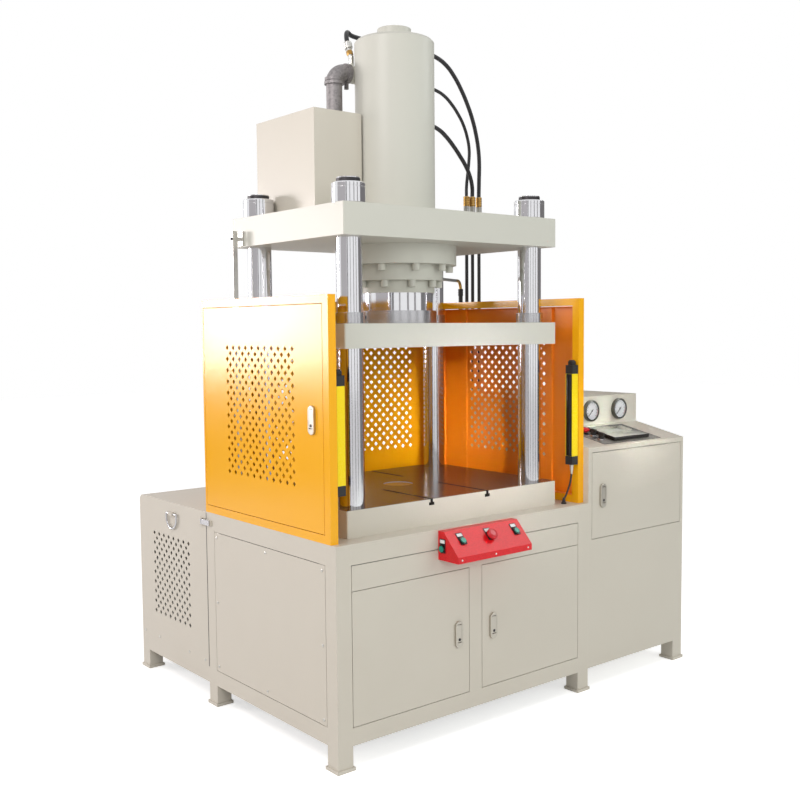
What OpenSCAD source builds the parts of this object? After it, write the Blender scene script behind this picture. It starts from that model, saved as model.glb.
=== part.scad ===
// Four-column hydraulic press with a welded base, sheet guards, a control cabinet
// and a power unit under a perforated hood. Millimetres, +Z up, +X to the right along
// the front, +Y to the back. Built from the front left corner of the base on the floor,
// then shifted so that the origin lies under the middle of the whole machine.

/* [Base cabinet] */
// Width of the base cabinet
base_w = 1304; // [1260:1:1500]
// Depth of the base cabinet
base_d = 912; // [880:1:1100]
// Height of the deck above the floor
base_h = 800; // [720:1:900]
// Side of the square frame tube
tube = 64; // [50:1:72]
// Thickness of the deck plate
deck_t = 10; // [6:1:20]
// Clear height under the bottom rails
rail_z = 86; // [60:1:120]
// Thickness of the foot plates
foot_t = 12; // [6:1:20]
// How far a foot plate stands out past its leg
foot_over = 6; // [2:1:12]
// Height of the blank strip above the front doors
strip_h = 92; // [80:1:120]
// Thickness of the folded sheet metal
sheet = 3; // [2:0.5:4]
// Gap round doors and panels
door_gap = 2.5; // [2:0.5:4]
// Depth of the folded door edges
door_depth = 18; // [15:1:30]

/* [Rear power unit] */
// Depth of the power unit behind the base
rear_d = 628; // [560:1:800]
// Drop from the deck to the hood's top
hood_drop = 2; // [0:1:40]
// Bend radius along the hood's top rear edge
hood_r = 30; // [10:1:60]
// Diameter of the electric motor
motor_d = 210; // [160:1:220]
// Length of the electric motor
motor_len = 320; // [240:1:400]

/* [Press frame] */
// Distance of the press axis from the left side of the base
press_x = 646; // [600:1:680]
// Distance of the press axis from the front of the base
press_y = 458; // [440:1:480]
// Width of the bolster, platen and crown
plate_w = 1078; // [1000:1:1100]
// Depth of the bolster, platen and crown
plate_d = 760; // [700:1:770]
// Thickness of the bolster
bolster_t = 100; // [70:1:140]
// Thickness of the platen
platen_t = 88; // [60:1:120]
// Thickness of the crown
crown_t = 115; // [80:1:160]
// Height from the bolster to the crown
open_h = 969; // [900:1:1200]
// Height from the ram's flange at rest to the cylinder head
lip_gap = 71; // [65:1:120]
// Column spacing across the press
col_dx = 923; // [860:1:940]
// Column spacing from front to back
col_dy = 608; // [560:1:620]
// Diameter of the columns
col_d = 96; // [80:1:110]
// Step from a column to its necked ends
shoulder = 6; // [4:1:12]
// Diameter of the column nuts
nut_d = 124; // [120:1:135]
// Height of the column nuts
nut_h = 75; // [50:1:90]
// How far a column end stands above its nut
col_end = 18; // [8:1:30]
// Step of the guide collars past their bushes
collar_step = 2; // [1.5:0.5:8]
// Height of the platen guide collars
collar_h = 40; // [20:1:60]
// Distance between the two clamping slots in the bolster
slot_pitch = 290; // [240:1:340]
// Length of the clamping slots in front of the knock-out
slot_front = 297; // [200:1:310]
// Length of the clamping slots behind the knock-out
slot_rear = 236; // [200:1:310]
// Width of a clamping slot at the surface
slot_w = 13; // [11:1:18]
// Width of a clamping slot at its foot
slot_foot_w = 27; // [24:1:36]
// Depth of the narrow part of a clamping slot
slot_neck_h = 12; // [8:1:16]
// Height of the wide part of a clamping slot
slot_foot_h = 12; // [8:1:16]

/* [Main cylinder] */
// Outside diameter of the cylinder barrel
barrel_d = 321; // [312:1:330]
// Height of the barrel above the crown
barrel_h = 706; // [660:1:760]
// Chamfer round the top of the barrel
barrel_chamfer = 10; // [4:1:20]
// Thickness of the barrel's closed end
barrel_cap = 50; // [30:1:70]
// Diameter of the boss on the barrel's top
boss_d = 136; // [100:1:160]
// Height of the boss on the barrel's top
boss_h = 47; // [20:1:60]
// Diameter of the ram
ram_d = 296; // [280:1:300]
// Length of the ram above the platen
ram_len = 860; // [840:1:900]
// Diameter of the flange that holds the ram to the platen
ram_flange_d = 326; // [316:1:340]
// Height of the flange that holds the ram to the platen
ram_flange_h = 52; // [40:1:60]
// Diameter of the cylinder head's flange
head_flange_d = 490; // [470:1:520]
// Diameter of the cylinder head's middle step
head_step_d = 380; // [376:1:390]
// Diameter of the cylinder head's lip
head_lip_d = 312; // [306:1:314]
// Height of the cylinder head's flange
head_flange_h = 76; // [60:1:90]
// Height of the cylinder head's middle step
head_step_h = 62; // [50:1:70]
// Height of the cylinder head's lip
head_lip_h = 48; // [36:1:60]
// Bolts round each step of the cylinder head
head_bolts = 10; // [6:1:12]
// Diameter of the bolt heads
bolt_head_d = 30; // [24:1:30]
// Height of the bolt heads
bolt_head_h = 26; // [16:1:30]

/* [Prefill tank] */
// Width of the prefill tank
tank_w = 226; // [180:1:230]
// Depth of the prefill tank
tank_d = 416; // [380:1:420]
// Height of the prefill tank
tank_h = 400; // [340:1:420]
// Diameter of the suction pipe
pipe_d = 64; // [58:1:68]
// Wall of the suction pipe and its elbow
pipe_wall = 6; // [4:0.5:8]
// Diameter of the elbow's body
elbow_d = 70; // [69:1:74]
// Diameter of the elbow's end rings
elbow_ring_d = 79; // [77:1:84]
// Bend radius of the elbow's middle line
elbow_r = 51.5; // [48:0.5:60]

/* [Guards] */
// Thickness of the guards
guard_t = 32; // [26:1:36]
// Height of the guards above the deck
guard_h = 860; // [780:1:900]
// Distance of the side guards behind the front
guard_y = 28; // [20:1:40]
// Width of the guard's front post
guard_post = 35; // [30:1:45]
// Width of the guard's rear post
guard_rear_post = 12; // [10:1:25]
// Height of the guard's top and bottom rails
guard_rail = 30; // [24:1:40]
// Sideways pitch of the diamond holes
perf_pitch = 46; // [40:1:48]
// Rise from one row of diamond holes to the next
perf_row = 22; // [20:0.5:23]
// Corner to corner size of a diamond hole
perf_d = 21; // [14:0.5:24]
// Width of the stiffening ribs inside the guards
rib_w = 28; // [20:1:34]

/* [Light curtain] */
// Length of a light curtain bar
curtain_h = 345; // [280:1:420]
// Width of a light curtain bar
curtain_w = 34; // [24:1:36]
// Depth of a light curtain bar
curtain_d = 38; // [28:1:44]
// Height of the bars above the deck
curtain_z = 201; // [150:1:260]

/* [Two-hand control box] */
// Width of the control box
box_w = 382; // [340:1:420]
// Depth of the control box
box_d = 110; // [96:1:130]
// Height of the control box
box_h = 108; // [96:1:130]
// Distance of the control box from the left side of the base
box_x = 464; // [400:1:500]
// Drop from the deck to the control box
box_drop = 5; // [2:1:10]
// Depth of the flat top of the control box
box_flat = 30; // [20:1:40]
// Height of the control box's front lip
box_lip = 24; // [16:1:30]

/* [Control cabinet] */
// Width of the control cabinet
cab_w = 658; // [620:1:720]
// Height of the front edge of the desk
desk_front = 1033; // [1010:1:1050]
// Height of the back edge of the desk
desk_back = 1090; // [1070:1:1110]
// Depth of the desk
desk_d = 269; // [250:1:300]
// Height of the control cabinet's roof
cab_h = 1221; // [1200:1:1260]
// Height of the control cabinet's underside
cab_z = 90; // [70:1:110]
// Wall of the control cabinet
cab_wall = 4; // [3:0.5:6]
// Diameter of the pressure gauges
gauge_d = 94; // [80:1:110]
// Width of the operator screen
screen_w = 238; // [200:1:260]
// Height of the operator screen
screen_h = 160; // [130:1:170]

/* [Hidden] */
$fn = 64;

// Overrun of every cut past the face that it opens
over = 1;
// Radial clearance of pins that turn in their holes
pin_fit = 0.08;
// Radial clearance of the sliding guides
slide_fit = 0.05;
// Gap between pieces that only stand close
slack = 0.4;

// Colours of the finishes
cream = [0.80, 0.79, 0.74];
amber = [0.98, 0.70, 0.06];
steel = [0.72, 0.72, 0.74];
zinc = [0.60, 0.60, 0.60];
black = [0.08, 0.08, 0.08];
signal_red = [0.85, 0.12, 0.14];
teal = [0.10, 0.55, 0.47];

// Heights of the base
deck_z = base_h - deck_t;
rail_top = rail_z + tube;
top_rail_z = deck_z - tube;
strip_z = top_rail_z - strip_h;
rear_y = base_d + rear_d;
leg_xs = [[0, tube], [base_w - tube, base_w]];
leg_ys = [[0, tube], [base_d - tube, base_d]];
rear_leg = [rear_y - tube, rear_y];
mullion = [base_w / 2 - tube / 2, base_w / 2 + tube / 2];
beam_w = 60;
beam_off = 180;
tab = 40;
tab_t = 5;

// Levels of the press frame
bolster_top = base_h + bolster_t;
crown_z = bolster_top + open_h;
crown_top = crown_z + crown_t;
plate_x = [press_x - plate_w / 2, press_x + plate_w / 2];
plate_y = [press_y - plate_d / 2, press_y + plate_d / 2];
column_places = [
    for (sx = [-1, 1], sy = [-1, 1]) [press_x + sx * col_dx / 2, press_y + sy * col_dy / 2]
];
neck_d = col_d - 2 * shoulder;
neck_slack = 0.25;
seat_t = 2;
nut_chamfer = 4;
nut_groove_w = 3;
nut_groove_t = 2;
nut_groove_in = 15;
plate_edge = 3;
bush_wall = 5;
bush_hole_d = col_d + 2 * slide_fit + 2 * bush_wall;
collar_d = bush_hole_d + 2 * collar_step;

// Levels of the main cylinder
bore_slack = 4;
barrel_bore = ram_d + 2 * bore_slack;
head_d = [head_flange_d, head_step_d, head_lip_d];
head_h = [head_flange_h, head_step_h, head_lip_h];
barrel_top = crown_top + barrel_h;
head_levels = [crown_z - head_h[0], crown_z - head_h[0] - head_h[1],
    crown_z - head_h[0] - head_h[1] - head_h[2]];
platen_top = head_levels[2] - lip_gap - ram_flange_h;
platen_z = platen_top - platen_t;

// Knock-out cylinder under the bolster
ejector_d = 120;
ejector_head = 30;
ejector_low = 2;
ejector_rod_d = 60;
ejector_tube_d = 160;
ejector_tube_h = 300;
ejector_flange_d = 220;
ejector_flange_t = 30;
ejector_rod_len = 260;
ejector_floor = 20;
pad_z = bolster_top - ejector_low - ejector_head;

// Places of the prefill tank and its pipe
tank_air = 9.5;
tank_over = 36;
tank_x = press_x - barrel_d / 2 - tank_air - tank_w;
tank_y = plate_y[1] + tank_over - tank_d;
tank_top = crown_top + tank_h;
tank_wall = 4;
pipe_in = 117;
pipe_len = 128.5;
elbow_z = tank_top + pipe_len;
port_z = elbow_z + elbow_r;
elbow_leg = 17.5;
ring_h = 12;
ring_groove = 3;
ring_step = 4;
plug_d = 20;
plug_h = 22;
neck_in = 14.5;
neck_x = press_x - barrel_d / 2 + neck_in;
pipe_at = [neck_x - elbow_leg - elbow_r, tank_y + pipe_in];
stub_d = 20;
stub_up = 8;
stub_in = 17;
stub_z = port_z + elbow_d / 2 + stub_up;
stub_x = neck_x + stub_in;

// Guards
guard_z = [base_h, base_h + guard_h];
guard_ys = [guard_y, base_d];
leaf_y = [guard_y + guard_post + door_gap, base_d - guard_rear_post - door_gap];
leaf_z = [base_h + guard_rail + door_gap, base_h + guard_h - guard_rail - door_gap];
guard_cols = 11;
guard_rows = 23;
back_cols = 20;
hood_cols = 8;
hood_rows = 17;
hood_perf_in = [323, 314];
rib_t = 10;
rib_gap = 16;
leaf_short = 4;
leaf_depth = guard_t - leaf_short;

// Hinges
pin_d = 6;
pin_up = 6;
hinge_skin = 1;
swing_clear = 0.5;
hinge_back = sheet + pin_d / 2 + pin_fit + hinge_skin;
swing_gap = door_gap - swing_clear;
hinge_in = (hinge_back * hinge_back - swing_gap * swing_gap) / (2 * swing_gap);

// Latches
latch_w = 36;
latch_h = 102;
latch_t = 9;
latch_floor = 2;
latch_pocket_w = 22;
latch_pocket_h = 72;
latch_pin_d = 4;
latch_pin_in = 3.5;
latch_barrel_d = 6;
latch_pin_z = 36;
latch_above = 5;
paddle_t = 5;
paddle_low = 0.3;
paddle_h = 64;

// Front doors and the doors of the cabinet and the guard
front_z = [rail_top + door_gap, strip_z - door_gap];
front_left_x = [tube + door_gap, mullion[0] - door_gap];
front_right_x = [mullion[1] + door_gap, base_w - tube - door_gap];
front_latch_in = 56;
front_latch_z = 386;
cab_x = base_w;
cab_right = cab_x + cab_w;
cab_leaf_in = [24, 21];
cab_leaf_low = 644;
cab_leaf_drop = 23;
cab_leaf_x = [cab_x + cab_leaf_in[0], cab_right - cab_leaf_in[1]];
cab_leaf_z = [cab_leaf_low, desk_front - cab_leaf_drop];
jamb = 20;
jamb_t = 4;
cab_latch_in = 66;
cab_latch_z = 823;
guard_latch_in = 62;
guard_latch_up = 426;
guard_latch_z = base_h + guard_latch_up;

// Desk of the control cabinet
desk_angle = atan2(desk_back - desk_front, desk_d);
desk_len = norm([desk_d, desk_back - desk_front]);
desk_plate_in = [127, 20];
desk_plate_w = 391;
desk_plate_len = 226;
desk_plate_t = 2;
desk_plate_gap = 1;
screen_in = [226, 48];
screen_t = 14;
screen_edge = 16;
screen_sink = 2;
estop_in = [182, 182];
selector_in = [[172, 80], [182, 134]];
gauge_in = [323, 522];
gauge_z = 1156;
gauge_t = 16;
gauge_bezel = 7;
gauge_dish = 4;
hub_d = 8;
needle_w = 3;
needle_t = 1.5;
needle_tail = 10;
needle_pin_d = 4;
needle_air = 0.5;
needle_rest = 225;

// Push buttons
button_d = 22;
button_ring_d = 30;
button_ring_h = 6;
button_up = 10;
button_in = 24;
button_stop_d = 28;
button_stop_t = 2;
button_travel = 4;
mushroom_d = 44;
mushroom_t = 14;
knob_d = 24;
knob_h = 14;
knob_grip_w = 9;
knob_grip_h = 12;
desk_mushroom_d = 34;
mushroom_air = 0.5;
stop_air = 0.3;
box_wall = 3;
knob_stem_d = 12;
knob_stop_d = 20;
desk_boss_d = 28;
desk_boss_h = 10;
box_z = [base_h - box_drop - box_h, base_h - box_drop];
box_slope = atan2(box_h - box_lip, box_d - box_flat);
box_slope_len = norm([box_h - box_lip, box_d - box_flat]);
button_down_share = 0.45;
button_shares = [0.16, 0.89];
estop_share = 0.53;
side_button_in = [25, 44];

// Power unit
motor_air = 52;
oil_tank_in = 20;
oil_tank_gap = 40;
motor_x = 420;
motor_foot = 16;
motor_foot_w = 120;
bell_len = 110;
bell_d = 170;
pump_len = 180;
pump_d = 120;
fin_count = 16;
fin_h = 8;
fin_w = 5;
valve_x = 900;
valve_size = [180, 140, 110];

// Lifting rings and the draw latch of the hood
lug_w = 30;
lug_t = 14;
lug_h = 16;
ring_wire = 8;
ring_half = 46;
ring_leg = 18;
ring_in = 301;
ring_y = base_d + ring_in;
ring_drop = 48;
hood_top = base_h - hood_drop;
ring_z = hood_top - ring_drop;
strap_w = 22;
strap_t = 3;
strap_pin_d = 5;
strap_barrel_d = 8;
strap_len = 69;
strap_drop = 41;
strap_z = hood_top - strap_drop;
strap_out = 9;
strap_base_t = 4;
strap_base_y = [9, 45];
strap_pin_in = 29;
strap_pin_y = base_d + strap_pin_in;
ear_t = 4;
ear_reach = 13;
keeper_t = 7;
keeper_y = [26, 46];

// Light curtain and the limit switch rail
curtain_gap = 2;
curtain_in = 2;
curtain_cap = 36;
curtain_window = 20;
curtain_groove = 3;
grommet_d = 22;
grommet_h = 6;
switch_rail_gap = 26;
switch_rail_w = 21;
switch_rail_t = 12;
switch_rail_in = 70;
switch_rail_up = 61;
switch_pad = [9, 30];
switch_pad_up = 4;
switch_arm_up = [22, 37];
switch_h = 44;
switch_w = 20;
switch_levels = [300, 620];

// Hoses, tubes and the cable of the light curtain
hose_d = 19;
slim_hose_d = 15;
riser_d = 16;
drop_tube_d = 14;
drop_hose_d = 20;
cable_d = 8;
ferrule_d = 26;
hose_nut_d = 30;
nut_len = 30;
lean_d = 22;
top_ferrule_d = 31;
top_ferrule_h = 28;
end_len = 76;
roof_nut_h = 24;
riser_in = [[36, 784], [70, 780], [113, 781]];
drop_in = [18, 808];
drop_bend = 40;
drop_nut_h = 36;
port_r = 175;
port_turn = 45;

// Run of the top hose from the elbow over the back of the barrel to the right riser, as steps
// from the press axis on the crown
top_run = [
    [-129, 142, 712], [-128, 150, 733], [-121, 161, 750], [-111, 174, 762], [-98, 188, 769],
    [-83, 202, 772], [-45, 233, 776], [0, 254, 779], [58, 268, 782], [124, 275, 784],
    [194, 277, 784], [264, 275, 784], [334, 271, 783], [404, 268, 780], [469, 271, 770], [534, 280, 746],
    [589, 290, 708], [639, 299, 658], [684, 307, 600], [722, 314, 538], [750, 319, 472], [768, 322, 404],
    [776, 324, 334], [774, 324, 252], [771, 323, 176]
];
// Run of the upper hose from the back of the barrel to the left riser
upper_run = [
    [166, 166, 576], [200, 188, 586], [244, 200, 600], [299, 208, 611], [364, 219, 616],
    [429, 234, 614], [494, 253, 602], [559, 275, 576], [616, 295, 542], [666, 314, 502],
    [700, 327, 456], [720, 334, 400], [724, 341, 338], [714, 340, 274], [700, 332, 220],
    [694, 326, 176]
];
// Run of the lower hose from the back of the barrel to the middle riser
lower_run = [
    [166, 166, 406], [204, 186, 420], [254, 194, 436], [314, 200, 447], [374, 209, 450],
    [434, 222, 440], [494, 241, 418], [554, 262, 388], [612, 282, 352], [662, 295, 310],
    [700, 306, 264], [722, 316, 220], [728, 322, 176]
];
// Run of the light curtain's cable to the deck, as steps aside and as shares of its drop
cable_steps = [[0, 0], [0, 0], [-2, 0], [-7, 1], [-15, 4], [-24, 8], [-32, 11], [-35, 11]];
cable_drop_shares = [1, 0.843, 0.686, 0.516, 0.352, 0.201, 0.088, 0];
ferrule_up = 176;
ferrule_top = crown_top + ferrule_up;
riser_top = ferrule_top - end_len;
riser_at = [for (p = riser_in) [cab_x + p[0], p[1], ferrule_top]];
hose_origin = [press_x, press_y, crown_top];

// A run set on the press axis and drawn evenly to its end on a riser
function hung(run, end) =
    let (n = len(run) - 1, off = end - hose_origin - run[n])
        [for (i = [0 : n]) hose_origin + run[i] + off * i / n];
route_top = hung(top_run, riser_at[2]);
route_upper = hung(upper_run, riser_at[0]);
route_lower = hung(lower_run, riser_at[1]);
drop_at = [cab_x + drop_in[0], drop_in[1]];
drop_run = norm([drop_at[0] - press_x, drop_at[1] - press_y]);
drop_turn = atan2(drop_at[1] - press_y, drop_at[0] - press_x);
drop_z = (head_levels[0] + head_levels[1]) / 2;
hose_root = [stub_x, pipe_at[1], stub_z + nut_len / 2];

// Reach of the machine to each side of the base's front left corner
reach_left = -lug_t;
reach_right = cab_right + foot_over;
reach_front = -box_d;
reach_back = rear_y + foot_over;
mid = [(reach_left + reach_right) / 2, (reach_front + reach_back) / 2, 0];

// Shift from the corner of the base to the middle of the machine
module in_frame() translate(-mid) children();

// A block between two planes on each axis
module slab(x, y, z)
    translate([x[0], y[0], z[0]]) cube([x[1] - x[0], y[1] - y[0], z[1] - z[0]]);

// A post with a round section between two levels
module post(at, z, d)
    translate([at[0], at[1], z[0]]) cylinder(h = z[1] - z[0], d = d);

// A round bar along X
module bar_x(x, y, z, d)
    translate([x[0], y, z]) rotate([0, 90, 0]) cylinder(h = x[1] - x[0], d = d);

// A round bar along Y
module bar_y(x, y, z, d)
    translate([x, y[0], z]) rotate([-90, 0, 0]) cylinder(h = y[1] - y[0], d = d);

// A flat outline with half round ends, standing on the Y axis
module stadium(w, h) {
    square([w, h - w], center = true);
    for (s = [-1, 1]) translate([0, s * (h - w) / 2]) circle(d = w);
}

// Zigzag rows of diamonds round the origin, every other row one short
module diamonds(cols, rows)
    for (r = [0 : rows - 1])
        let (odd = r % 2, n = cols - odd)
            for (c = [0 : n - 1])
                translate([(c - (n - 1) / 2) * perf_pitch, (r - (rows - 1) / 2) * perf_row])
                    circle(d = perf_d, $fn = 4);

// Rings of a swept tube and the faces that join them
function unit(v) = v / norm(v);
function heading(route, i) =
    unit(route[min(i + 1, len(route) - 1)] - route[max(i - 1, 0)]);
function ring_of(centre, ahead, aside, r, sides) =
    let (u = unit(cross(aside, ahead)), v = cross(ahead, u))
        [for (k = [0 : sides - 1])
            centre + r * (cos(k * 360 / sides) * u + sin(k * 360 / sides) * v)];
function side_faces(rings, sides) = [
    for (i = [0 : rings - 2], k = [0 : sides - 1])
        let (n = (k + 1) % sides)
            [i * sides + k, (i + 1) * sides + k, (i + 1) * sides + n, i * sides + n]
];
module swept(route, d, aside, sides, first, last) {
    n = len(route);
    ends = [for (i = [0 : n - 1]) i == 0 ? first : i == n - 1 ? last : heading(route, i)];
    points = [for (i = [0 : n - 1]) each ring_of(route[i], ends[i], aside, d / 2, sides)];
    faces = concat(
        side_faces(n, sides),
        [[for (k = [0 : sides - 1]) k]],
        [[for (k = [sides - 1 : -1 : 0]) (n - 1) * sides + k]]
    );
    polyhedron(points = points, faces = faces);
}

// Base cabinet

// Plate under one leg
module foot_plate(x, y)
    slab([x[0] - foot_over, x[1] + foot_over], [y[0] - foot_over, y[1] + foot_over], [0, foot_t]);

// Tabs that the side panel is screwed to
module panel_tabs() {
    for (y = [[tube, tube + tab], [base_d - tube - tab, base_d - tube]])
        for (z = [[rail_top, rail_top + tab], [top_rail_z - tab, top_rail_z]])
            slab([sheet, sheet + tab_t], y, z);
}

// Legs, the post between the front doors and the cross beams that carry the bolster
module base_legs()
    color(cream) {
        for (x = leg_xs) {
            for (y = leg_ys) slab(x, y, [foot_t, deck_z]);
            slab(x, rear_leg, [foot_t, rail_top]);
        }
        slab(mullion, [0, tube], [rail_top, strip_z]);
        for (s = [-1, 1])
            slab([tube, base_w - tube],
                [press_y + s * beam_off - beam_w / 2, press_y + s * beam_off + beam_w / 2],
                [top_rail_z, deck_z]);
        panel_tabs();
    }

// Rails between the legs, their foot plates, the blank strip above the doors and the latch keeper
module base_rails()
    color(cream) {
        for (x = leg_xs) {
            for (y = [leg_ys[0], leg_ys[1], rear_leg]) foot_plate(x, y);
            slab(x, [tube, base_d - tube], [rail_z, rail_top]);
            slab(x, [base_d, rear_y - tube], [rail_z, rail_top]);
            slab(x, [tube, base_d - tube], [top_rail_z, deck_z]);
        }
        for (y = leg_ys) {
            slab([tube, base_w - tube], y, [rail_z, rail_top]);
            slab([tube, base_w - tube], y, [top_rail_z, deck_z]);
        }
        slab([tube, base_w - tube], rear_leg, [rail_z, rail_top]);
        slab([tube, base_w - tube], [sheet, tube], [strip_z, strip_z + tube]);
        slab([tube + door_gap, base_w - tube - door_gap], [0, sheet], [strip_z, top_rail_z - door_gap]);
        slab([-keeper_t, 0], [base_d - keeper_y[1], base_d - keeper_y[0]],
            [strap_z - strap_w / 2, strap_z + strap_w / 2]);
    }

// Plate on the frame with holes for the column necks and the knock-out
module deck_plate()
    color(cream)
        difference() {
            slab([0, base_w], [0, base_d], [deck_z, base_h]);
            for (p = column_places)
                post(p, [deck_z - over, base_h + over], neck_d + 2 * neck_slack);
            post([press_x, press_y], [deck_z - over, base_h + over], ejector_d + 2 * slide_fit);
        }

module side_panel()
    color(cream)
        slab([0, sheet], [tube + door_gap, base_d - tube - door_gap],
            [rail_top + door_gap, top_rail_z - door_gap]);

// Doors

// Folded edges of a door, with bores for its two hinge pins
module door_rim(w, h, depth)
    difference() {
        slab([0, w], [0, depth], [0, h]);
        slab([sheet, w - sheet], [-over, depth + over], [sheet, h - sheet]);
        translate([hinge_in, hinge_back, -over]) cylinder(h = h + 2 * over, d = pin_d + 2 * pin_fit);
    }

// Plate with a pocket for the latch paddle
module latch_plate()
    difference() {
        rotate([90, 0, 0]) linear_extrude(latch_t) stadium(latch_w, latch_h);
        slab([-latch_pocket_w / 2, latch_pocket_w / 2], [-latch_t - over, -latch_floor],
            [latch_pin_z + latch_above - latch_pocket_h, latch_pin_z + latch_above]);
        bar_x([-latch_pocket_w / 2 - latch_pin_d - slack, latch_pocket_w / 2 + latch_pin_d + slack],
            latch_pin_in - latch_t, latch_pin_z, latch_pin_d + 2 * pin_fit);
    }

// Paddle that swings out of the latch plate about a cross pin
module latch_paddle() {
    half = latch_pocket_w / 2 - slack;
    front = paddle_low - latch_t;
    slab([-half, half], [front, front + paddle_t], [latch_pin_z - paddle_h, latch_pin_z]);
    bar_x([-half, half], latch_pin_in - latch_t, latch_pin_z, latch_barrel_d);
    bar_x([-latch_pocket_w / 2 - latch_pin_d, latch_pocket_w / 2 + latch_pin_d],
        latch_pin_in - latch_t, latch_pin_z, latch_pin_d);
}

// Door hinged on its left edge, front face on the XZ plane, with any cut-outs as children
module leaf(w, h, depth, latch_at) {
    rotate([90, 0, 0]) mirror([0, 0, 1]) linear_extrude(sheet)
        difference() {
            square([w, h]);
            children();
        }
    door_rim(w, h, depth);
    translate([latch_at[0], 0, latch_at[1]]) latch_plate();
}

// Pins of one door, standing on the faces above and below it
module pin_pair(h)
    for (z = [-door_gap, h - sheet - pin_up])
        translate([hinge_in, hinge_back, z]) cylinder(h = door_gap + sheet + pin_up, d = pin_d);

// Places of the doors, each with its hinge edge at the origin
module at_front_left() translate([front_left_x[0], 0, front_z[0]]) children();
module at_front_right() translate([front_right_x[1], 0, front_z[0]]) mirror([1, 0, 0]) children();
module at_cabinet() translate([cab_leaf_x[1], 0, cab_leaf_z[0]]) mirror([1, 0, 0]) children();
module at_guard() translate([0, leaf_y[1], leaf_z[0]]) rotate([0, 0, -90]) children();

front_h = front_z[1] - front_z[0];
front_left_w = front_left_x[1] - front_left_x[0];
front_right_w = front_right_x[1] - front_right_x[0];
cab_leaf_w = cab_leaf_x[1] - cab_leaf_x[0];
cab_leaf_h = cab_leaf_z[1] - cab_leaf_z[0];
guard_leaf_w = leaf_y[1] - leaf_y[0];
guard_leaf_h = leaf_z[1] - leaf_z[0];
front_left_latch = [front_left_w - front_latch_in, front_latch_z - front_z[0]];
front_right_latch = [front_right_w - front_latch_in, front_latch_z - front_z[0]];
cab_latch = [cab_leaf_w - cab_latch_in, cab_latch_z - cab_leaf_z[0]];
guard_latch = [guard_leaf_w - guard_latch_in, guard_latch_z - leaf_z[0]];

module front_door_left()
    color(cream) at_front_left() leaf(front_left_w, front_h, door_depth, front_left_latch);

module front_door_right()
    color(cream) at_front_right() leaf(front_right_w, front_h, door_depth, front_right_latch);

module cabinet_door()
    color(cream) at_cabinet() leaf(cab_leaf_w, cab_leaf_h, door_depth, cab_latch);

// Vertical ribs beside the perforated field of a guard
module guard_ribs(w, h)
    for (s = [-1, 1]) {
        centre = w / 2 + s * ((guard_cols - 1) * perf_pitch / 2 + perf_d / 2 + rib_gap + rib_w / 2);
        slab([centre - rib_w / 2, centre + rib_w / 2], [sheet, sheet + rib_t], [sheet, h - sheet]);
    }

module guard_door_left()
    color(amber) at_guard() {
        leaf(guard_leaf_w, guard_leaf_h, leaf_depth, guard_latch)
            translate([guard_leaf_w / 2, guard_leaf_h / 2]) diamonds(guard_cols, guard_rows);
        guard_ribs(guard_leaf_w, guard_leaf_h);
    }

module hinge_pins()
    color(steel) {
        at_front_left() pin_pair(front_h);
        at_front_right() pin_pair(front_h);
        at_cabinet() pin_pair(cab_leaf_h);
        at_guard() pin_pair(guard_leaf_h);
    }

module latch_front_left()
    color(steel) at_front_left() translate([front_left_latch[0], 0, front_left_latch[1]]) latch_paddle();

module latch_front_right()
    color(steel) at_front_right() translate([front_right_latch[0], 0, front_right_latch[1]]) latch_paddle();

module latch_cabinet()
    color(steel) at_cabinet() translate([cab_latch[0], 0, cab_latch[1]]) latch_paddle();

module latch_guard()
    color(steel) at_guard() translate([guard_latch[0], 0, guard_latch[1]]) latch_paddle();

// Press frame

// A plate with bevelled upright edges and four column holes
module press_plate(z, hole_d) {
    x = plate_x;
    y = plate_y;
    e = plate_edge;
    difference() {
        translate([0, 0, z[0]]) linear_extrude(z[1] - z[0])
            polygon([
                [x[0] + e, y[0]], [x[1] - e, y[0]], [x[1], y[0] + e], [x[1], y[1] - e],
                [x[1] - e, y[1]], [x[0] + e, y[1]], [x[0], y[1] - e], [x[0], y[0] + e]
            ]);
        for (p = column_places) post(p, [z[0] - over, z[1] + over], hole_d);
    }
}

// Clamping slot, cut in from the front and from the back and left whole around the knock-out
module clamping_slot(x) {
    neck_z = bolster_top - slot_neck_h;
    for (y = [[plate_y[0] - over, plate_y[0] + slot_front], [plate_y[1] - slot_rear, plate_y[1] + over]]) {
        slab([x - slot_w / 2, x + slot_w / 2], y, [neck_z - over, bolster_top + over]);
        slab([x - slot_foot_w / 2, x + slot_foot_w / 2], y, [neck_z - slot_foot_h, neck_z]);
    }
}

module bolster()
    color(cream)
        difference() {
            press_plate([base_h, bolster_top], neck_d + 2 * neck_slack);
            for (s = [-1, 1]) clamping_slot(press_x + s * slot_pitch / 2);
            for (p = column_places) post(p, [bolster_top - seat_t, bolster_top + over], col_d + 2 * slack);
            post([press_x, press_y], [base_h - over, bolster_top + over], ejector_d + 2 * slide_fit);
        }

module crown()
    color(cream)
        difference() {
            press_plate([crown_z, crown_top], neck_d + 2 * neck_slack);
            post([press_x, press_y], [crown_z - over, crown_top + over], barrel_d + 2 * neck_slack);
        }

// One column with necked ends that pass through the bolster and the crown
module column(p) {
    post(p, [bolster_top - seat_t, crown_z], col_d);
    post(p, [deck_z - nut_h - col_end, crown_top + nut_h + col_end], neck_d);
}

module columns()
    color(steel) for (p = column_places) column(p);

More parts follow.
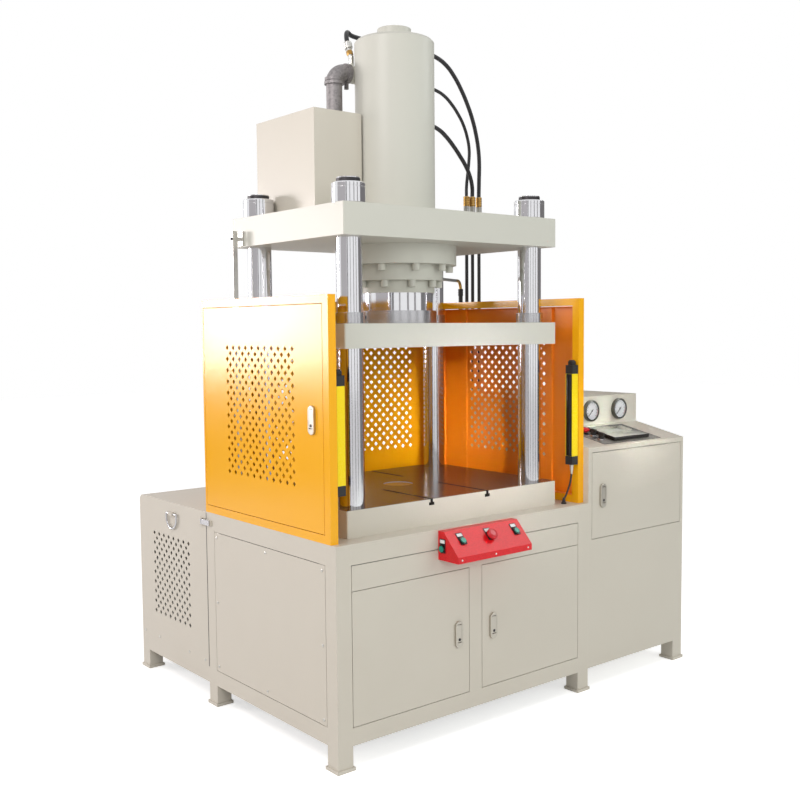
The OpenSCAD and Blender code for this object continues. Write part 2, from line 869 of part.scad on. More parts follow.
// Round nut with bevelled rims and a groove near its top
module round_nut(p, z) {
    groove_z = nut_h - nut_groove_in - nut_groove_w;
    groove_r = nut_d / 2 - nut_groove_t;
    translate([p[0], p[1], z]) rotate_extrude()
        polygon([
            [neck_d / 2 + neck_slack, 0], [nut_d / 2 - nut_chamfer, 0], [nut_d / 2, nut_chamfer],
            [nut_d / 2, groove_z], [groove_r, groove_z], [groove_r, groove_z + nut_groove_w],
            [nut_d / 2, groove_z + nut_groove_w],
            [nut_d / 2, nut_h - nut_chamfer], [nut_d / 2 - nut_chamfer, nut_h],
            [neck_d / 2 + neck_slack, nut_h]
        ]);
}

module column_nuts()
    color(steel)
        for (p = column_places) {
            round_nut(p, crown_top);
            round_nut(p, deck_z - nut_h);
        }

module platen()
    color(cream) press_plate([platen_z, platen_top], bush_hole_d);

// Flanged bush that guides the platen on a column
module guide_collar(p)
    difference() {
        union() {
            post(p, [platen_z, platen_top + over], bush_hole_d - 2 * neck_slack);
            post(p, [platen_top, platen_top + collar_h], collar_d);
        }
        post(p, [platen_z - over, platen_top + collar_h + over], col_d + 2 * slide_fit);
    }

module guide_collars()
    color(steel) for (p = column_places) guide_collar(p);

// Main cylinder

// Side neck that takes the elbow, with a stub for the hose fitting
module barrel_neck() {
    bar_x([neck_x, press_x], pipe_at[1], port_z, elbow_d);
    post([stub_x, pipe_at[1]], [port_z, stub_z], stub_d);
}

// Port that points to the back right of the barrel
module barrel_port(z)
    translate([press_x, press_y, z]) rotate([0, 0, port_turn]) rotate([0, 90, 0])
        cylinder(h = port_r, d = ferrule_d);

module cylinder_barrel()
    color(cream)
        difference() {
            union() {
                translate([press_x, press_y, crown_z]) rotate_extrude($fn = 128)
                    polygon([
                        [0, 0], [barrel_d / 2, 0], [barrel_d / 2, barrel_top - barrel_chamfer - crown_z],
                        [barrel_d / 2 - barrel_chamfer, barrel_top - crown_z], [0, barrel_top - crown_z]
                    ]);
                post([press_x, press_y], [barrel_top - over, barrel_top + boss_h], boss_d);
                barrel_neck();
                barrel_port(route_upper[0][2]);
                barrel_port(route_lower[0][2]);
            }
            post([press_x, press_y], [crown_z - over, barrel_top - barrel_cap], barrel_bore);
        }

module cylinder_head()
    color(cream)
        difference() {
            union() {
                post([press_x, press_y], [head_levels[0], crown_z], head_d[0]);
                post([press_x, press_y], [head_levels[1], head_levels[0] + over], head_d[1]);
                post([press_x, press_y], [head_levels[2], head_levels[1] + over], head_d[2]);
            }
            post([press_x, press_y], [head_levels[2] - over, crown_z + over], ram_d + 2 * slide_fit);
        }

// Ring of socket screws that hang under one step of the cylinder head
module bolt_ring(step) {
    r = (head_d[step] + head_d[step + 1]) / 4;
    for (k = [0 : head_bolts - 1])
        translate([press_x, press_y, head_levels[step] - bolt_head_h]) rotate([0, 0, k * 360 / head_bolts])
            translate([r, 0, 0]) difference() {
                cylinder(h = bolt_head_h, d = bolt_head_d);
                translate([0, 0, -over])
                    cylinder(h = bolt_head_h / 2 + over, d = bolt_head_d / 2, $fn = 6);
            }
}

module flange_bolts()
    color(steel) for (step = [0, 1]) bolt_ring(step);

module ram()
    color(steel) post([press_x, press_y], [platen_top, platen_top + ram_len], ram_d);

module ram_flange()
    color(steel)
        difference() {
            post([press_x, press_y], [platen_top, platen_top + ram_flange_h], ram_flange_d);
            post([press_x, press_y], [platen_top - over, platen_top + ram_flange_h + over],
                ram_d + 2 * neck_slack);
        }

// Knock-out pad and rod
module ejector()
    color(steel) {
        post([press_x, press_y], [pad_z, pad_z + ejector_head], ejector_d);
        post([press_x, press_y], [pad_z - ejector_rod_len, pad_z], ejector_rod_d);
    }

// Knock-out cylinder that hangs under the deck
module ejector_cylinder() {
    flange_z = deck_z - ejector_flange_t;
    tube_z = flange_z - ejector_tube_h;
    color(zinc)
        difference() {
            union() {
                post([press_x, press_y], [flange_z, deck_z], ejector_flange_d);
                post([press_x, press_y], [tube_z, flange_z + over], ejector_tube_d);
            }
            post([press_x, press_y], [tube_z + ejector_floor, deck_z + over],
                ejector_rod_d + 2 * slide_fit);
        }
}

// Prefill tank and suction pipe

module prefill_tank()
    color(cream)
        difference() {
            slab([tank_x, tank_x + tank_w], [tank_y, tank_y + tank_d], [crown_top, tank_top]);
            slab([tank_x + tank_wall, tank_x + tank_w - tank_wall],
                [tank_y + tank_wall, tank_y + tank_d - tank_wall],
                [crown_top + tank_wall, tank_top - tank_wall]);
            post(pipe_at, [tank_top - tank_wall - over, tank_top + over], pipe_d - 2 * pipe_wall);
        }

// Elbow screwed on the pipe, with rings at its mouths and a drain plug
module pipe_elbow()
    difference() {
        union() {
            translate([pipe_at[0] + elbow_r, pipe_at[1], elbow_z]) rotate([90, 0, 0]) rotate([0, 0, 90])
                rotate_extrude(angle = 90) translate([elbow_r, 0]) circle(d = elbow_d);
            post(pipe_at, [elbow_z, elbow_z + ring_h], elbow_ring_d);
            post(pipe_at, [elbow_z + ring_h + ring_groove, elbow_z + 2 * ring_h + ring_groove],
                elbow_ring_d - ring_step);
            post([neck_x - elbow_leg / 2, pipe_at[1]],
                [port_z - elbow_ring_d / 2 - plug_h, port_z - (elbow_d + elbow_ring_d) / 4], plug_d, $fn = 6);
            bar_x([neck_x - elbow_leg - over, neck_x], pipe_at[1], port_z, elbow_ring_d);
        }
        post(pipe_at, [elbow_z - over, elbow_z + ring_h / 2], pipe_d - 2 * pipe_wall);
    }

module suction_pipe()
    color(zinc) {
        difference() {
            post(pipe_at, [tank_top, elbow_z], pipe_d);
            post(pipe_at, [tank_top - over, elbow_z + over], pipe_d - 2 * pipe_wall);
        }
        pipe_elbow();
    }

// Hoses and tubes

// Nut and crimped sleeve of a hose end, standing along +Z
module hose_end(length) {
    cylinder(h = nut_len, d = hose_nut_d, $fn = 6);
    translate([0, 0, nut_len - over]) cylinder(h = length - nut_len + over, d = ferrule_d);
}

// Fitting that leans from the stub on the barrel's neck to the top hose
module leaning_end() {
    lean = route_top[0] - hose_root;
    translate([stub_x, pipe_at[1], stub_z]) cylinder(h = nut_len, d = lean_d, $fn = 6);
    translate(hose_root) rotate([0, acos(lean[2] / norm(lean)), atan2(lean[1], lean[0])]) {
        cylinder(h = norm(lean), d = lean_d);
        translate([0, 0, norm(lean) - top_ferrule_h]) cylinder(h = top_ferrule_h, d = top_ferrule_d);
    }
}

// Tube from the cylinder head that bends down beside the guard
module drop_line() {
    reach = head_d[1] / 2;
    translate([press_x, press_y, drop_z]) rotate([0, 0, drop_turn]) {
        translate([reach, 0, 0]) rotate([0, 90, 0]) cylinder(h = drop_nut_h, d = ferrule_d, $fn = 6);
        translate([reach, 0, 0]) rotate([0, 90, 0])
            cylinder(h = drop_run - drop_bend - reach, d = drop_tube_d);
        translate([drop_run - drop_bend, 0, -drop_bend]) rotate([90, 0, 0])
            rotate_extrude(angle = 90) translate([drop_bend, 0]) circle(d = drop_tube_d);
    }
}

module hose_fittings()
    color(zinc) {
        for (p = riser_at) translate([p[0], p[1], riser_top]) hose_end(end_len);
        for (start = [route_upper[0], route_lower[0]])
            translate([press_x, press_y, start[2]]) rotate([0, 0, port_turn]) translate([port_r, 0, 0])
                rotate([0, 90, 0]) hose_end(norm([start[0] - press_x, start[1] - press_y]) - port_r);
        leaning_end();
        drop_line();
        for (p = concat(riser_at, [drop_at]))
            translate([p[0], p[1], cab_h]) cylinder(h = roof_nut_h, d = hose_nut_d, $fn = 6);
    }

module riser_tubes()
    color(black) {
        for (p = riser_at) post(p, [cab_h + roof_nut_h, riser_top], riser_d);
        post(drop_at, [cab_h + roof_nut_h, drop_z - drop_bend], drop_hose_d);
    }

module hose_top()
    color(black) swept(route_top, hose_d, [0, 1, 0.2], 10, unit(route_top[0] - hose_root), [0, 0, -1]);

module hose_upper()
    color(black) swept(route_upper, slim_hose_d, [-0.3, 1, 0], 10, unit([1, 1, 0]), [0, 0, -1]);

module hose_lower()
    color(black) swept(route_lower, hose_d, [-0.3, 1, 0], 10, unit([1, 1, 0]), [0, 0, -1]);

module curtain_cable()
    color(black) swept(route_cable, cable_d, [0, 1, 0], 8, [0, 0, -1], [0, 0, -1]);

// Guards

// Posts and rails of a side guard, its outer face on the YZ plane at x
module guard_frame(x) {
    slab(x, [guard_ys[0], guard_ys[0] + guard_post], guard_z);
    slab(x, [guard_ys[1] - guard_rear_post, guard_ys[1]], guard_z);
    slab(x, guard_ys, [guard_z[0], guard_z[0] + guard_rail]);
    slab(x, guard_ys, [guard_z[1] - guard_rail, guard_z[1]]);
}

module guard_left()
    color(amber) guard_frame([0, guard_t]);

module guard_right()
    color(amber) guard_frame([base_w - guard_t, base_w]);

// Open sheet pan with folded edges, front face on the XZ plane, cut-outs as children
module pan(w, h, depth) {
    rotate([90, 0, 0]) mirror([0, 0, 1]) linear_extrude(sheet)
        difference() {
            square([w, h]);
            children();
        }
    difference() {
        slab([0, w], [0, depth], [0, h]);
        slab([sheet, w - sheet], [-over, depth + over], [sheet, h - sheet]);
    }
}

// Fixed perforated panel that rests on the right guard's bottom rail
module guard_panel_right() {
    panel_h = leaf_z[1] - guard_z[0] - guard_rail;
    color(amber)
        translate([base_w, leaf_y[0], guard_z[0] + guard_rail]) rotate([0, 0, 90]) {
            pan(guard_leaf_w, panel_h, leaf_depth)
                translate([guard_leaf_w / 2, panel_h / 2]) diamonds(guard_cols, guard_rows);
            guard_ribs(guard_leaf_w, panel_h);
        }
}

module guard_back() {
    w = base_w - 2 * guard_t;
    color(amber)
        translate([base_w - guard_t, base_d, guard_z[0]]) rotate([0, 0, 180])
            pan(w, guard_h, guard_t)
                translate([w / 2, guard_h / 2]) diamonds(back_cols, guard_rows);
}

// Light curtains

curtain_x = [guard_t + curtain_gap + curtain_w / 2, base_w - guard_t - curtain_gap - curtain_w / 2];
curtain_y = guard_y + curtain_in + curtain_d / 2;
curtain_low = base_h + curtain_z;
grommet_top = base_h + grommet_h;
cable_drop = curtain_low - curtain_cap - grommet_top;
route_cable = [
    for (i = [0 : len(cable_steps) - 1])
        [curtain_x[1] + cable_steps[i][0], curtain_y + cable_steps[i][1],
            grommet_top + cable_drop * cable_drop_shares[i]]
];

// One bar with a window groove that looks across the press
module curtain_bar(x, look)
    difference() {
        slab([x - curtain_w / 2, x + curtain_w / 2], [curtain_y - curtain_d / 2, curtain_y + curtain_d / 2],
            [curtain_low, curtain_low + curtain_h]);
        translate([x + look * curtain_w / 2, curtain_y, curtain_low + curtain_h / 2])
            cube([2 * curtain_groove, curtain_window, curtain_h + 2 * over], center = true);
    }

module light_curtains()
    color("gold") {
        curtain_bar(curtain_x[0], 1);
        curtain_bar(curtain_x[1], -1);
    }

// End caps of one bar, each with a foot against the guard's post
module curtain_caps(x, look)
    for (low = [curtain_low - curtain_cap, curtain_low + curtain_h]) {
        z = [low, low + curtain_cap];
        slab([x - curtain_w / 2, x + curtain_w / 2],
            [curtain_y - curtain_d / 2, curtain_y + curtain_d / 2], z);
        translate([x - look * (curtain_w / 2 + curtain_gap / 2), curtain_y, (z[0] + z[1]) / 2])
            cube([curtain_gap, curtain_d / 2, curtain_cap], center = true);
    }

module curtain_brackets()
    color(black) {
        curtain_caps(curtain_x[0], 1);
        curtain_caps(curtain_x[1], -1);
        post(route_cable[len(route_cable) - 1], [base_h, base_h + grommet_h], grommet_d);
    }

// Upright rail with limit switches beside the platen
module sensor_rail() {
    x = [plate_x[0] - switch_rail_gap - switch_rail_w, plate_x[0] - switch_rail_gap];
    y = [plate_y[1] - switch_rail_in - switch_rail_t, plate_y[1] - switch_rail_in];
    color(zinc) {
        slab(x, y, [base_h, crown_z + switch_rail_up]);
        slab([plate_x[0] - switch_pad[0], plate_x[0]],
            [(y[0] + y[1] - switch_pad[1]) / 2, (y[0] + y[1] + switch_pad[1]) / 2],
            [crown_z + switch_pad_up, crown_z + switch_rail_up]);
        slab([x[1] - over, plate_x[0] - switch_pad[0] + over], y,
            [crown_z + switch_arm_up[0], crown_z + switch_arm_up[1]]);
        for (z = switch_levels)
            slab([x[0] - switch_w, x[0]], [y[0] - switch_rail_t, y[1]],
                [bolster_top + z, bolster_top + z + switch_h]);
    }
}

// Two-hand control box

// Child frames on the slope of the box, its left end and the desk, +Z outwards
module on_box(share)
    translate([box_x + share * box_w, -box_flat, box_z[1]]) rotate([box_slope, 0, 0])
        translate([0, -box_slope_len * button_down_share, 0]) children();
module on_box_side()
    translate([box_x, -side_button_in[0], box_z[0] + side_button_in[1]]) rotate([0, -90, 0]) children();
module on_desk(p)
    translate([cab_x + p[0], 0, desk_front]) rotate([desk_angle, 0, 0]) translate([0, p[1], 0]) children();

// Outline of the box's end, drawn in from the outside by the wall
module box_end(wall)
    polygon([
        [-wall, box_z[0] + wall], [-wall, box_z[1] - wall],
        [-box_flat + wall * tan(box_slope / 2), box_z[1] - wall],
        [-box_d + wall, box_z[0] + box_lip - wall * tan((90 - box_slope) / 2)],
        [-box_d + wall, box_z[0] + wall]
    ]);

// An outline on the YZ plane drawn out along X
module along_x(x)
    translate([x[0], 0, 0]) rotate([90, 0, 90]) linear_extrude(x[1] - x[0]) children();

// Ring round a button and the bore in its middle
module button_ring()
    translate([0, 0, -over]) cylinder(h = button_ring_h + over, d = button_ring_d);
module button_bore(depth)
    translate([0, 0, -depth - over])
        cylinder(h = depth + button_ring_h + 2 * over, d = button_d + 2 * slide_fit);

module control_box()
    color(signal_red)
        difference() {
            union() {
                along_x([box_x, box_x + box_w]) box_end(0);
                for (share = concat(button_shares, [estop_share])) on_box(share) button_ring();
                on_box_side() button_ring();
            }
            along_x([box_x + box_wall, box_x + box_w - box_wall]) box_end(box_wall);
            for (share = concat(button_shares, [estop_share])) on_box(share) button_bore(box_wall);
            on_box_side() button_bore(box_wall);
        }

// Stem of a button with a stop collar behind the wall
module button_stem(up, wall) {
    translate([0, 0, -button_in]) cylinder(h = button_in + up, d = button_d);
    translate([0, 0, -wall - stop_air - button_stop_t]) cylinder(h = button_stop_t, d = button_stop_d);
}

// Mushroom head on a stem, clear of its ring at full travel
module mushroom(d, wall) {
    low = button_ring_h + button_travel + mushroom_air;
    button_stem(low + over, wall);
    translate([0, 0, low]) rotate_extrude()
        polygon([
            [0, 0], [d / 2 - nut_chamfer / 2, 0], [d / 2, nut_chamfer / 2], [d / 2, mushroom_t / 2],
            [d / 2 - nut_chamfer, mushroom_t - over], [d / 4, mushroom_t], [0, mushroom_t]
        ]);
}

module green_button_left()
    color(teal) on_box(button_shares[0]) button_stem(button_up, box_wall);
module green_button_right()
    color(teal) on_box(button_shares[1]) button_stem(button_up, box_wall);
module side_button()
    color(teal) on_box_side() button_stem(button_up, box_wall);
module control_estop()
    color(signal_red) on_box(estop_share) mushroom(mushroom_d, box_wall);

// Control cabinet

desk_places = concat([estop_in], selector_in);

// Outline of the cabinet's side, drawn in from the outside by the wall
module cabinet_side(wall) {
    sink = wall / cos(desk_angle);
    polygon([
        [wall, cab_z + wall], [base_d - wall, cab_z + wall], [base_d - wall, cab_h - wall],
        [desk_d + wall, cab_h - wall], [desk_d + wall, desk_back + wall * tan(desk_angle) - sink],
        [wall, desk_front + wall * tan(desk_angle) - sink]
    ]);
}

// Folded frame behind the cabinet's door
module door_jamb() {
    x = [cab_leaf_x[0] - door_gap, cab_leaf_x[1] + door_gap];
    z = [cab_leaf_z[0] - door_gap, cab_leaf_z[1] + door_gap];
    difference() {
        slab([x[0] - jamb_t, x[1] + jamb_t], [0, jamb], [z[0] - jamb_t, z[1] + jamb_t]);
        slab(x, [-over, jamb + over], z);
    }
}

module control_cabinet()
    color(cream) {
        difference() {
            along_x([cab_x, cab_right]) cabinet_side(0);
            along_x([cab_x + cab_wall, cab_right - cab_wall]) cabinet_side(cab_wall);
            slab([cab_leaf_x[0] - door_gap, cab_leaf_x[1] + door_gap], [-over, cab_wall + over],
                [cab_leaf_z[0] - door_gap, cab_leaf_z[1] + door_gap]);
            on_desk(desk_plate_in) translate([0, 0, -desk_plate_t])
                cube([desk_plate_w, desk_plate_len, desk_plate_t + over]);
            for (p = desk_places)
                on_desk(p) translate([0, 0, -2 * cab_wall])
                    cylinder(h = 3 * cab_wall, d = desk_boss_d + 2 * slack);
        }
        door_jamb();
        for (y = leg_ys) {
            foot_plate([cab_right - tube, cab_right], y);
            slab([cab_right - tube, cab_right], y, [0, cab_z + over]);
        }
    }

// Plate that fills the recess of the desk, with the operator screen and its switches
module desk_panel()
    color(steel)
        difference() {
            union() {
                on_desk(desk_plate_in) translate([desk_plate_gap, desk_plate_gap, -desk_plate_t])
                    cube([desk_plate_w - 2 * desk_plate_gap, desk_plate_len - 2 * desk_plate_gap,
                        desk_plate_t]);
                on_desk(screen_in) translate([0, 0, -over]) cube([screen_w, screen_h, screen_t + over]);
                for (p = desk_places) {
                    on_desk(p) button_ring();
                    on_desk(p) translate([0, 0, -desk_boss_h]) cylinder(h = desk_boss_h, d = desk_boss_d);
                }
            }
            on_desk(screen_in) translate([screen_edge, screen_edge, screen_t - screen_sink])
                cube([screen_w - 2 * screen_edge, screen_h - 2 * screen_edge, screen_sink + over]);
            on_desk(estop_in) button_bore(desk_boss_h);
            for (p = selector_in)
                on_desk(p) translate([0, 0, -desk_boss_h - over])
                    cylinder(h = desk_boss_h + button_ring_h + 2 * over, d = knob_stem_d + 2 * pin_fit);
        }

module cabinet_estop()
    color(signal_red) on_desk(estop_in) mushroom(desk_mushroom_d, desk_boss_h);

// Turning knob with a raised grip
module selector(p)
    color(black) on_desk(p) {
        translate([0, 0, button_ring_h + mushroom_air]) cylinder(h = knob_h, d = knob_d);
        translate([-knob_grip_w / 2, -knob_d / 2, button_ring_h + mushroom_air])
            cube([knob_grip_w, knob_d, knob_h + knob_grip_h]);
        translate([0, 0, -button_in]) cylinder(h = button_in + button_ring_h + knob_h, d = knob_stem_d);
        translate([0, 0, -desk_boss_h - mushroom_air - button_stop_t])
            cylinder(h = button_stop_t, d = knob_stop_d);
    }

module selector_front() selector(selector_in[0]);
module selector_back() selector(selector_in[1]);

// Place of a gauge on the upright face behind the desk, +Z outwards
module on_face(in) translate([cab_x + in, desk_d, gauge_z]) rotate([90, 0, 0]) children();

module gauges()
    color(black)
        for (in = gauge_in)
            on_face(in) {
                difference() {
                    cylinder(h = gauge_t, d = gauge_d);
                    translate([0, 0, gauge_t - gauge_dish])
                        cylinder(h = gauge_dish + over, d = gauge_d - 2 * gauge_bezel);
                }
                cylinder(h = gauge_t - over, d = needle_pin_d);
            }

// Needle that lies over the dial and turns on the gauge's pin
module needle(in) {
    low = gauge_t - gauge_dish + needle_air;
    color(black) on_face(in) rotate([0, 0, needle_rest])
        difference() {
            union() {
                translate([0, 0, low]) cylinder(h = needle_t, d = hub_d);
                translate([-needle_tail, -needle_w / 2, low])
                    cube([needle_tail + gauge_d / 2 - 2 * gauge_bezel, needle_w, needle_t]);
            }
            cylinder(h = gauge_t + over, d = needle_pin_d + 2 * pin_fit);
        }
}

module gauge_needle_left() needle(gauge_in[0]);
module gauge_needle_right() needle(gauge_in[1]);

// Hood of the power unit

hood_h = hood_top - rail_top;

// Outline of the hood's side from its front bottom corner
module hood_side(inset) {
    square([rear_d - inset, hood_h - hood_r]);
    square([rear_d - hood_r, hood_h - inset]);
    translate([rear_d - hood_r, hood_h - hood_r]) circle(r = hood_r - inset);
}

// An outline on the hood's side drawn out along X
module hood_along(x) translate([0, base_d, rail_top]) along_x(x) children();

// Lug with a cross bore for a lifting ring
module ring_lug(x)
    difference() {
        slab(x, [ring_y - lug_w / 2, ring_y + lug_w / 2], [ring_z - lug_h / 2, ring_z + lug_h / 2]);
        bar_y((x[0] + x[1]) / 2, [ring_y - lug_w, ring_y + lug_w], ring_z, ring_wire + 2 * pin_fit);
    }

// Base and ears that hold the draw latch's pin
module strap_base() {
    half = strap_w / 2 + slack;
    slab([-strap_base_t, over], [base_d + strap_base_y[0], base_d + strap_base_y[1]],
        [strap_z - half - ear_t, strap_z + half + ear_t]);
    difference() {
        for (z = [strap_z - half - ear_t, strap_z + half])
            slab([-ear_reach, over], [strap_pin_y - strap_barrel_d, strap_pin_y + strap_barrel_d],
                [z, z + ear_t]);
        post([-strap_out, strap_pin_y], [strap_z - strap_w, strap_z + strap_w], strap_pin_d + 2 * pin_fit);
    }
}

module rear_hood()
    color(cream) {
        difference() {
            hood_along([0, base_w]) hood_side(0);
            translate([0, -over, -over]) hood_along([sheet, base_w - sheet]) hood_side(sheet);
            hood_along([-over, base_w + over]) translate(hood_perf_in) diamonds(hood_cols, hood_rows);
        }
        ring_lug([-lug_t, 0]);
        ring_lug([base_w, base_w + lug_t]);
        strap_base();
    }

// Lifting ring of round wire that hangs in its lug
module lifting_ring(x) {
    bar_y(x, [ring_y - ring_half, ring_y + ring_half], ring_z, ring_wire);
    for (s = [-1, 1]) {
        post([x, ring_y + s * ring_half], [ring_z - ring_leg, ring_z], ring_wire);
        translate([x, ring_y + s * ring_half, ring_z]) sphere(d = ring_wire);
    }
    translate([x, ring_y, ring_z - ring_leg]) rotate([90, 0, 90]) rotate([0, 0, 180])
        rotate_extrude(angle = 180) translate([ring_half, 0]) circle(d = ring_wire);
}

module lifting_ring_left()
    color(steel) lifting_ring(-lug_t / 2);
module lifting_ring_right()
    color(steel) lifting_ring(base_w + lug_t / 2);

// Lever of the draw latch, lying over its keeper
module draw_latch_left()
    color(steel) {
        slab([-strap_out - strap_t + over, -strap_out + over], [strap_pin_y - strap_len, strap_pin_y],
            [strap_z - strap_w / 2, strap_z + strap_w / 2]);
        post([-strap_out, strap_pin_y], [strap_z - strap_w / 2, strap_z + strap_w / 2], strap_barrel_d);
        post([-strap_out, strap_pin_y],
            [strap_z - strap_w / 2 - slack - ear_t, strap_z + strap_w / 2 + slack + ear_t], strap_pin_d);
    }

// Power unit under the hood

oil_tank_top = hood_top - motor_air - motor_d - motor_foot;
motor_y = base_d + rear_d / 2;
motor_z = oil_tank_top + motor_foot + motor_d / 2;

// Oil tank of plates: a floor, two long walls, two short walls between them and a screwed lid
module oil_tank() {
    x = [oil_tank_in, base_w - oil_tank_in];
    y = [base_d + oil_tank_gap, rear_y - oil_tank_gap];
    wall_z = [rail_top + tank_wall + slide_fit, oil_tank_top - tank_wall - slide_fit];
    short_y = [y[0] + tank_wall + slide_fit, y[1] - tank_wall - slide_fit];
    color(zinc) {
        slab(x, y, [rail_top, rail_top + tank_wall]);
        slab(x, y, [oil_tank_top - tank_wall, oil_tank_top]);
        slab(x, [y[0], y[0] + tank_wall], wall_z);
        slab(x, [y[1] - tank_wall, y[1]], wall_z);
        slab([x[0], x[0] + tank_wall], short_y, wall_z);
        slab([x[1] - tank_wall, x[1]], short_y, wall_z);
    }
}

// Motor with cooling fins, coupling bell, pump and valve block on the oil tank
module power_pack() {
    bell_x = motor_x + motor_len;
    color(zinc) {
        bar_x([motor_x, bell_x], motor_y, motor_z, motor_d - 2 * fin_h);
        for (k = [0 : fin_count - 1])
            translate([motor_x, motor_y, motor_z]) rotate([k * 360 / fin_count, 0, 0])
                translate([fin_w, -fin_w / 2, 0]) cube([motor_len - 2 * fin_w, fin_w, motor_d / 2]);
        bar_x([bell_x - over, bell_x + bell_len], motor_y, motor_z, bell_d);
        bar_x([bell_x, bell_x + bell_len + pump_len], motor_y, motor_z, pump_d);
        slab([motor_x + motor_foot, bell_x - motor_foot],
            [motor_y - motor_foot_w / 2, motor_y + motor_foot_w / 2], [oil_tank_top, motor_z]);
        slab([valve_x, valve_x + valve_size[0]],
            [motor_y - valve_size[1] / 2, motor_y + valve_size[1] / 2],
            [oil_tank_top, oil_tank_top + valve_size[2]]);
    }
}

in_frame() base_legs();
in_frame() base_rails();
in_frame() deck_plate();
in_frame() side_panel();
in_frame() front_door_left();
in_frame() front_door_right();
in_frame() hinge_pins();
in_frame() bolster();
in_frame() columns();
in_frame() column_nuts();
in_frame() crown();
in_frame() platen();
in_frame() guide_collars();
in_frame() cylinder_barrel();
in_frame() cylinder_head();
in_frame() flange_bolts();
in_frame() ram();
in_frame() ram_flange();
in_frame() ejector();
in_frame() ejector_cylinder();
in_frame() prefill_tank();
in_frame() suction_pipe();
in_frame() hose_fittings();
in_frame() riser_tubes();
in_frame() hose_top();
in_frame() hose_upper();
in_frame() hose_lower();
in_frame() guard_left();
in_frame() guard_right();
in_frame() guard_back();
in_frame() guard_door_left();
in_frame() guard_panel_right();
in_frame() light_curtains();
in_frame() curtain_brackets();
in_frame() curtain_cable();
in_frame() sensor_rail();
in_frame() control_box();
in_frame() green_button_left();
in_frame() green_button_right();
in_frame() side_button();
in_frame() control_estop();
in_frame() control_cabinet();
in_frame() cabinet_door();
in_frame() desk_panel();
in_frame() gauges();
in_frame() gauge_needle_left();
in_frame() gauge_needle_right();
in_frame() cabinet_estop();
in_frame() selector_front();
in_frame() selector_back();
in_frame() rear_hood();
in_frame() oil_tank();
in_frame() power_pack();
in_frame() lifting_ring_left();
in_frame() lifting_ring_right();
in_frame() draw_latch_left();
in_frame() latch_front_left();
in_frame() latch_front_right();
in_frame() latch_cabinet();
in_frame() latch_guard();
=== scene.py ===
# %% [markdown]
# # A four-column hydraulic press
# The solids of the press come from CAD. This lesson gives them their finishes and adds what a drawing office leaves
# out: hoses that bend, screws, dials, glass and legends.
# Everything is in metres, +Z up, with the origin on the floor under the middle of the machine.

# %% Load the solids
import math

import bmesh
import bpy
from mathutils import Matrix, Vector
from mathutils.geometry import interpolate_bezier


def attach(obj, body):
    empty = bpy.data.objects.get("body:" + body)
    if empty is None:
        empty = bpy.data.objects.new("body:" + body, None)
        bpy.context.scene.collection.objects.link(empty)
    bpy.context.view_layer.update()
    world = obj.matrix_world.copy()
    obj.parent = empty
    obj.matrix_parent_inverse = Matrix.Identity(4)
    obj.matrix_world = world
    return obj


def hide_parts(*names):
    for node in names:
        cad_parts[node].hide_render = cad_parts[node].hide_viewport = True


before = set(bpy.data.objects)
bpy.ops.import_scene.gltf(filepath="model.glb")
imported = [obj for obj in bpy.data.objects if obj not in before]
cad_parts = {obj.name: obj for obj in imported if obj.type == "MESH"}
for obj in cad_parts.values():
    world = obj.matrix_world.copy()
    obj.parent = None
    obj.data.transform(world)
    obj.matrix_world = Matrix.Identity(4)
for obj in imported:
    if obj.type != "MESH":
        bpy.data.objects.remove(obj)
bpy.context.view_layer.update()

MIDDLE = Vector((0.977, 0.718, 0))


def at(x, y, z):
    """A point given in millimetres from the base's front left corner on the floor."""
    return Vector((x, y, z)) / 1000 - MIDDLE


# %% [markdown]
# ## The camera
# The photograph was taken from the front left, a little above the bolster, with a mild telephoto lens. A camera
# can be placed by eye, but a machine this square shows every degree of error. It was solved from the machine's
# straight edges instead, so it is written as a place, three angles and a focal length in pixels.

# %% Camera
SENSOR = 36
FOCAL_PIXELS, PHOTO_PIXELS = 1023.64, 800
CAMERA_PLACE = at(-1996.6, -2813.9, 1544.4)
yaw, pitch, roll = (math.radians(angle) for angle in (-39.073, -4.048, -0.505))
ahead = Vector((-math.sin(yaw) * math.cos(pitch), math.cos(yaw) * math.cos(pitch), math.sin(pitch)))
level = Vector((math.cos(yaw), math.sin(yaw), 0))
upward = level.cross(ahead)
right = level * math.cos(roll) + upward * math.sin(roll)
above = upward * math.cos(roll) - level * math.sin(roll)

bpy.ops.object.camera_add()
camera = bpy.context.object
camera.data.sensor_width = SENSOR
camera.data.lens = SENSOR * FOCAL_PIXELS / PHOTO_PIXELS
turn = Matrix((right, above, -ahead)).transposed().to_4x4()
camera.matrix_world = Matrix.Translation(CAMERA_PLACE) @ turn
bpy.context.scene.camera = camera
print("camera:", [round(v, 3) for v in camera.location], "lens", round(camera.data.lens, 1))

# %% [markdown]
# ## Shader maths
# A finish can be wired by hand in the shader editor, but a formula is easier to read than a web of nodes. `Value`
# wraps one socket, and each operator on it adds a Math node. Colours are written as they look on screen, and
# `linear` turns them into the amounts of light that shaders work with.


# %% Values and colours
class Value:
    """A number that changes over a surface."""

    def __init__(self, finish, socket):
        self.finish, self.socket = finish, socket

    def math(self, operation, *others):
        return self.finish.calculate(operation, self, *others)

    def __add__(self, other):
        return self.math("ADD", other)

    __radd__ = __add__

    def __sub__(self, other):
        return self.math("SUBTRACT", other)

    def __rsub__(self, other):
        return self.finish.calculate("SUBTRACT", other, self)

    def __mul__(self, other):
        return self.math("MULTIPLY", other)

    def __gt__(self, other):
        return self.math("GREATER_THAN", other)

    def __lt__(self, other):
        return self.math("LESS_THAN", other)

    def __abs__(self):
        return self.math("ABSOLUTE")

    def clamp(self):
        return self.math("MAXIMUM", 0).math("MINIMUM", 1)


